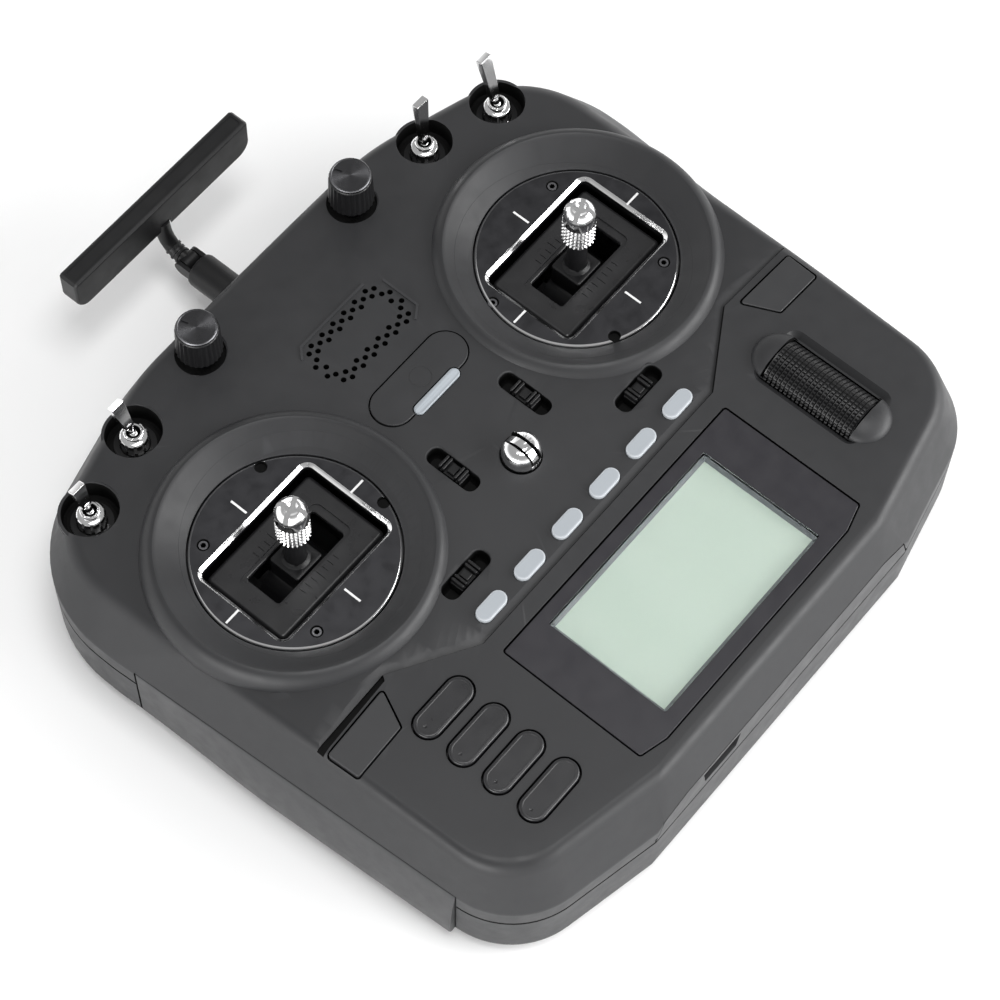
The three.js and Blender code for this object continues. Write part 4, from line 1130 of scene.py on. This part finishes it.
def make_lever(name, x, y, top, length, lean):
    """A ball, a short round stem and a flat tapered blade, leant about X through the ball."""
    angles = [math.radians(-90 + 15 * k) for k in range(13)]
    ball = lathe("ball", [(1.7 * math.cos(a), 1.7 * math.sin(a)) for a in angles], 32)
    stem = lathe("stem", [(0, 0), (1.1, 0), (1.1, 3.0), (1.3, 4.2), (0, 4.2)], 32)
    tip = length + 2.4
    sections = [(1.35, 0.75, 2.9), (1.65, 0.85, 3.6), (2.35, 1.2, tip - 0.5), (2.3, 1.12, tip - 0.15),
                (2.05, 0.9, tip)]
    blade = loft("blade", [flat(rounded(0, 0, half_x, half_y, 0.25, 3), z) for half_x, half_y, z in sections])
    lever = join(ball, stem, blade)
    lever.name = name
    return placed(lever, (x, y, top - SWITCH_PIVOT), -lean, "X")


def make_dial(side, label):
    x = side * DIAL_X
    top = DIAL_TOP
    flutes = 26
    points_each = 6

    def flute(i, _, z):
        wave = 0.5 + 0.5 * math.cos(2 * math.pi * (i % points_each) / points_each)
        return 0.32 * wave if top - 1.5 > z > 2 else 0

    profile = [(6.5, 1.9), (6.9, 2.3), (6.75, 4.6), (6.45, top - 1.6), (6.3, top - 1.2), (6.05, top - 0.9)]
    body = fluted("dial_grip_" + label, profile, flutes * points_each, x, DIAL_Y, flute)
    cut(body, rod("z", (x, DIAL_Y, 4.2), 3.2, 10.4))
    put(body, f"knob_{label}", black_plastic, f"dial_knob_{label}", angle=40)
    profile = [(0, top - 1.2), (5.95, top - 1.2), (6.0, top - 0.35), (5.75, top - 0.05), (5.5, top - 0.02),
               (5.35, top - 0.14), (0, top - 0.14)]
    disc = lathe("disc", profile, 96, x, DIAL_Y)
    cut(disc, placed(box(2.6, 4.9, -0.35, 0.35, top - 0.5, top + 1), (x, DIAL_Y, 0), 108))
    put(disc, f"knob_{label}", dial_top, name="dial_cap_" + label, angle=30)


def dial_top_material():
    """Dark turned metal whose fine rings catch the light in a fan."""
    n = Nodes("turned dial top")
    n.shader.inputs["Metallic"].default_value = 1
    n.shader.inputs["Anisotropic"].default_value = 0.9
    around = n.add("ShaderNodeTangent", direction_type="RADIAL", axis="Z")
    n.link(around.outputs["Tangent"], n.shader.inputs["Tangent"])
    n.link(n.mix(n.noise(2), (0.085, 0.085, 0.09), (0.11, 0.11, 0.115)), n.shader.inputs["Base Color"])
    n.link(n.ramp(n.noise(3), 0.3, 0.7, 0.24, 0.32), n.shader.inputs["Roughness"])
    n.link(n.bump(n.noise(0.3), 0.1, 0.00002), n.shader.inputs["Normal"])
    return n.material


dial_top = dial_top_material()


def make_roller():
    """A barrel of closely spaced rings, each cut into small teeth."""
    around = 132
    pitch = 1.45
    ribs = int(ROLLER_LENGTH / pitch)
    half = ROLLER_LENGTH / 2
    high = ROLLER_R - 0.02

    def ring(y, r, toothed=False):
        points = []
        for i in range(around):
            a = 2 * math.pi * i / around
            rr = r - (0.42 if toothed and i % 3 == 0 else 0)
            points.append((ROLLER.x + rr * math.cos(a), ROLLER.y + y, ROLLER.z + rr * math.sin(a)))
        return points

    rings = [ring(-half, 7.4), ring(-half + 0.1, 7.9)]
    for k in range(ribs):
        y = (k - ribs / 2) * pitch
        rings += [ring(y + 0.12, 7.8), ring(y + 0.28, high, True)]
        rings += [ring(y + 1.12, high, True), ring(y + 1.28, 7.8)]
    rings += [ring(half - 0.1, 7.9), ring(half, 7.4)]
    roller = loft("roller_barrel", rings)
    join(roller, rod("y", (ROLLER.x, ROLLER.y, ROLLER.z), 1.3, ROLLER_LENGTH + 5))
    put(roller, "roller", roller_black, "scroll_roller", angle=25)


# ------------------------------------------------------------------ buttons, keys, trims
def make_buttons():
    for i in range(1, 7):
        button = cap(f"shortcut_cap_{i}", shortcut_points(i), -6.4, 1.2, 0.35, 3, 0.9)
        put(button, f"shortcut_{i}", button_rim, f"shortcut_button_{i}")
        inlay = cap(f"shortcut_inlay_{i}", shortcut_points(i, -0.5), 0.9, 1.26, 0.12, 2)
        put(inlay, f"shortcut_{i}", button_grey)
    for i in range(1, 5):
        low, high = span(f"menu_key_{i}")
        key = cap(f"menu_cap_{i}", menu_points(i), -6.4, 0.7, 0.75, 5, 0.9)
        dimple = dome(low.x + 3.8, (low.y + high.y) / 2, 0.55, 0.55, 0.35, 0.72)
        tools = [dimple, loft("panel", [flat(menu_points(i, -1.15), 0.62), flat(menu_points(i, -0.95), 0.8)])]
        put(cut(key, *tools), f"menu_{i}", key_plastic, f"menu_key_{i}")
    for side, label in SIDES:
        key = cap("corner_cap_" + label, corner_key_points(side, -0.1), -6.4, 0.1, 0.3, 3, 0.8)
        put(key, f"corner_{label}", wall_plastic, f"corner_key_{label}")


def make_power():
    """The power button with a ring groove and a slot, and the light bar that stands in the slot."""
    z = face_z(0, 25)
    button = cap("power_cap", power_points(), -4.3, z + 0.25, 0.3, 3, 0.9)
    groove = [(3.0, z + 0.2), (3.25, z + 0.17), (3.45, z + 0.2), (3.45, z + 1), (3.0, z + 1)]
    cut(button, prism(light_points(0.35), -9, 6), lathe("ring", groove, 64, 0.5, 25.3, closed=True))
    put(button, "power", case_plastic, "power_button")
    bar = cap("power_light_bar", light_points(), -5.5, z + 0.55, 0.4, 3)
    foot = box(-12, 12, 16.6, 20.6, -7, -5.3)
    put(merged("power_light_bar", [bar, foot]), "case", light_bar, "power_light")


def make_trim(name):
    at = middle(name)
    z = face_z(at.x, at.y)
    across = name.endswith("horizontal")

    def block(u0, u1, v, z0, z1, edge):
        half = ((u1 - u0) / 2, v) if across else (v, (u1 - u0) / 2)
        centre = (at.x + (u0 + u1) / 2, at.y) if across else (at.x, at.y + (u0 + u1) / 2)
        return cap("block", rounded(*centre, *half, 0.35, 3), z0, z1, edge)

    base = block(-4.2, 4.2, 2.3, -4.6, z - 1.0, 0.3)
    ridges = [block(u, u + 0.8, 2.2, z - 1.2, z + 0.9, 0.3) for u in (-3.9, -2.6, 1.8, 3.1)]
    raised = block(-1.3, 1.3, 1.5, z - 1.2, z + 0.2, 0.3)
    join(base, *ridges, raised, block(-1.4, 1.4, 1.2, -8.2, -4, 0.1))
    base.name = name.replace("trim_", "trim_rocker_")
    put(base, f"{name}_rocker", black_plastic, name)


def make_hook():
    """The neck-strap post: a round polished post split by a slot, with a tongue across the slot."""
    low, high = span("strap_hook")
    y = (low.y + high.y) / 2
    top = high.z
    profile = [(0, -0.3), (5.3, -0.3), (5.75, 0.6), (5.8, top - 3.6), (5.5, top - 2.2), (4.8, top - 1.1),
               (3.6, top - 0.35), (2.0, top - 0.02), (0, top)]
    body = lathe("strap_post", profile, 96, 0, y)
    # The slot is marked for painted shade.
    cut(body, dark(box(-2.1, 2.1, y - 8, y + 8, top - 4.6, top + 2)))
    tongue = rod("x", (0, y, top - 5.6), 5.5, 2.3, 64)
    combine(tongue, [box(-2, 2, y - 5.2, y + 5.2, top - 5.5, top)], "INTERSECT")
    join(body, tongue, rod("z", (0, y, -6), 2.1, 12))
    put(body, "case", chrome, "strap_hook", bevel=0.15, angle=40, inside=painted_pocket_shade)


# ------------------------------------------------------------------ display and antenna
def make_display():
    """The dark border, its clear pane, the panel under it and the grey frame round the panel."""
    window = rounded(-0.3, -71.3, 34.6, 20.4, 0.6, 3)
    lens = cap("lens_border", lens_points(0), -2, -0.1, 0.25)
    cut(lens, prism(window, -5, 3))
    put(lens, "case", lens_border, "display_lens", angle=30)
    put(prism(grow(window, -0.05), -1.2, -0.25, "lens_window"), "case", window_glass)
    panel = prism(grow(window, -0.2), -10, -2.6, "lcd_panel")
    put(panel, "case", lcd_green, "lcd_module")
    outer = grow(window, -0.25)
    inner = grow(window, -1.3)
    rings = [flat(outer, -2.55), flat(outer, -1.35), flat(inner, -2.45), flat(inner, -2.55)]
    put(loft("lcd_edge", rings, closed=True), "case", lcd_edge)


def make_antenna_base():
    """The round socket in the rear wall, which ends in a fork with the hinge pin."""
    socket = [(0, 92.6), (5.5, 92.6), (5.5, 111.3), (5.2, 112.2), (4.5, 112.6), (0, 112.6)]
    base = lathe("antenna_socket", socket, 64)
    join(base, lathe("shaft", [(0, 79), (3, 79), (3, 93), (0, 93)], 32))
    placed(base, (0, 0, ANTENNA_Z), -90, "X")
    _, y, z = ANTENNA_PIN
    fork = []
    for s in (-1, 1):
        fork.append(rod("x", (s * 3.4, y, z), 2.4, 1.2, 32))
        fork.append(box(s * 3.4 - 0.6, s * 3.4 + 0.6, 111.6, y, z - 2.4, z + 2.4))
    join(base, *fork, rod("x", ANTENNA_PIN, 0.8, 6.6, 16))
    put(base, "antenna_root", antenna_plastic, "antenna_base", bevel=0.15)


def make_antenna_neck():
    """The bent stalk from the hinge to the bar, with three collars at its foot."""
    z = ANTENNA_Z
    path = [(117, z), (119, z), (121.2, z + 0.4), (123.4, z + 1.8), (125.1, z + 4.0), (126.1, z + 7),
            (126.5, z + 10), (126.6, -19.8)]
    rings = []
    for i, (y, h) in enumerate(path):
        way = (Vector(path[min(len(path) - 1, i + 1)]) - Vector(path[max(0, i - 1)])).normalized()
        ring = []
        for k in range(28):
            t = 2 * math.pi * k / 28
            r = 2.5 if i else 2.2
            up = r * math.sin(t)
            ring.append((r * math.cos(t), y - way.y * up, h + way.x * up))
        rings.append(ring)
    neck = loft("antenna_stalk", rings)
    join(neck, rod("x", ANTENNA_PIN, 2.45, 4.8, 32))
    cut(neck, rod("x", ANTENNA_PIN, 1.1, 8, 16))
    sleeve = []
    for y, h, lean in ((119.4, z + 0.05, 0), (121.2, z + 0.5, 15), (122.8, z + 1.4, 32)):
        collar = lathe("collar", [(2.4, -0.45), (2.85, -0.35), (2.85, 0.35), (2.4, 0.45)], 28, closed=True)
        sleeve.append(placed(collar, (0, y, h), lean - 90, "X"))
    stalk = merged("antenna_stalk", [neck, *sleeve])
    put(stalk, "antenna_blade", antenna_plastic, "antenna_neck")


def make_antenna_bar():
    """The bar: flat above, rounded at its lower corners, with a shallow panel in its upper face."""
    low, high = span("antenna_bar")
    half_x = high.x
    y = (low.y + high.y) / 2
    shape = [(half_x - 0.8, high.z), (-half_x + 0.8, high.z), (-half_x, high.z - 0.8)]
    for side in (-1, 1):
        turns = [math.pi / 2 * k / 8 for k in range(9)]
        arc = [(side * (half_x - 5 + 5 * math.cos(t)), low.z + 5 - 5 * math.sin(t)) for t in turns]
        shape += arc if side < 0 else arc[::-1]
    shape.append((half_x, high.z - 0.8))
    rings = []
    end = [(0.9, 3.5), (0.4, 3.35), (0.1, 2.95), (0, 2.5)]
    for inset, dy in [(inset, -dy) for inset, dy in end] + end[::-1]:
        rings.append([(px, y + dy, pz) for px, pz in grow(shape, -inset)])
    bar = loft("antenna_blade_bar", rings)
    panel = rounded(0, y, half_x - 1.6, 2.1, 0.8)
    cut(bar, prism(circle(0, 126.5, 2.9, 28), low.z - 2, low.z + 3.6),
        loft("cutter", [flat(panel, high.z - 0.25), flat(grow(panel, 0.25), high.z + 1)]))
    put(bar, "antenna_blade", antenna_plastic, "antenna_bar")


# ------------------------------------------------------------------ all pieces
make_front_shell()
make_rear_shell()
make_case_screws()
make_grips()
make_port_cover()
make_back_covers()
for side, label in SIDES:
    make_gimbal(side, label)
    make_dial(side, label)
for name, x, y, length, lean in SWITCHES:
    make_switch(name, x, y, length, lean)
make_roller()
make_buttons()
make_power()
for name in TRIMS:
    make_trim(name)
make_hook()
make_display()
make_antenna_base()
make_antenna_neck()
make_antenna_bar()

# CAD nodes that show as they are, by the start of their names.
kept = {"rear_foot": rubber, "gimbal_frame": dark_plastic, "dial_pot": spun, "speaker": dark_plastic,
        "main_board": board, "port_board": dark_plastic, "battery_pack": wrap}
for node, obj in nodes.items():
    for start, material in kept.items():
        if node.startswith(start):
            obj.data.materials.clear()
            obj.data.materials.append(material)


# ------------------------------------------------------------------ studio
def aim(obj, where, target):
    obj.location = where
    obj.rotation_euler = (Vector(target) - Vector(where)).to_track_quat("-Z", "Y").to_euler()


def area_light(name, where, size, power, target=(0, 0, 0.03)):
    light = bpy.data.lights.new(name, "AREA")
    light.shape = "RECTANGLE"
    light.size, light.size_y = size
    light.energy = power
    obj = bpy.data.objects.new(name, light)
    bpy.context.scene.collection.objects.link(obj)
    aim(obj, where, target)


# The photograph's view: azimuth, elevation and roll in degrees, lens in millimetres on a 36 mm sensor,
# distance in metres to a target in the drawing frame.
VIEW = (-52.083, 63.517, 1.961)
VIEW_LENS = 112.19
VIEW_DISTANCE = 0.8695
VIEW_TARGET = (-14.412, -16.599, 0)


def make_camera():
    azimuth, elevation, roll = (math.radians(a) for a in VIEW)
    level = math.cos(elevation)
    back = Vector((math.sin(azimuth) * level, -math.cos(azimuth) * level, math.sin(elevation)))
    right = Vector((math.cos(azimuth), math.sin(azimuth), 0))
    up = back.cross(right)
    right, up = (right * math.cos(roll) + up * math.sin(roll), up * math.cos(roll) - right * math.sin(roll))
    data = bpy.data.cameras.new("camera")
    data.sensor_width = 36
    data.lens = VIEW_LENS
    data.clip_start = 0.01
    camera = bpy.data.objects.new("camera", data)
    bpy.context.scene.collection.objects.link(camera)
    target = TO_ROW @ Vector(VIEW_TARGET)
    place = Matrix((right, up, back)).transposed().to_4x4()
    place.translation = target + back * VIEW_DISTANCE
    camera.matrix_world = place
    bpy.context.scene.camera = camera


def make_sky():
    """A white room with a dark ceiling: bright at the horizon, dimmer overhead."""
    world = bpy.data.worlds.new("studio")
    bpy.context.scene.world = world
    world.use_nodes = True
    tree = world.node_tree
    place = tree.nodes.new("ShaderNodeTexCoord")
    split = tree.nodes.new("ShaderNodeSeparateXYZ")
    fade = tree.nodes.new("ShaderNodeMapRange")
    fade.interpolation_type = "SMOOTHSTEP"
    for socket, value in (("From Min", 0.15), ("From Max", 0.65), ("To Min", 1.4), ("To Max", 0.36)):
        fade.inputs[socket].default_value = value
    tree.links.new(place.outputs["Generated"], split.inputs["Vector"])
    tree.links.new(split.outputs["Z"], fade.inputs["Value"])
    tree.links.new(fade.outputs["Result"], tree.nodes["Background"].inputs["Strength"])
    tree.nodes["Background"].inputs["Color"].default_value = (1, 1, 1, 1)


def make_studio():
    n = Nodes("pale floor")
    n.link(n.mix(n.noise(400), (0.93, 0.93, 0.93), (0.95, 0.95, 0.95)), n.shader.inputs["Base Color"])
    n.shader.inputs["Roughness"].default_value = 0.9
    n.shader.inputs["Specular IOR Level"].default_value = 0.1
    mesh = bpy.data.meshes.new("floor")
    half = 4
    corners = [(-half, -half, 0), (half, -half, 0), (half, half, 0), (-half, half, 0)]
    mesh.from_pydata(corners, [], [(0, 1, 2, 3)])
    mesh.materials.append(n.material)
    floor = bpy.data.objects.new("floor", mesh)
    floor.location.z = -0.0002
    bpy.context.scene.collection.objects.link(floor)
    make_sky()
    area_light("overhead", (0.0, -0.3, 2.2), (1.0, 1.0), 22)
    area_light("front right", (1.2, -1.9, 0.8), (2.6, 1.3), 76)
    area_light("left", (-1.9, -0.4, 0.42), (1.4, 0.6), 22)
    bpy.context.scene.view_settings.view_transform = "Standard"


make_camera()
make_studio()
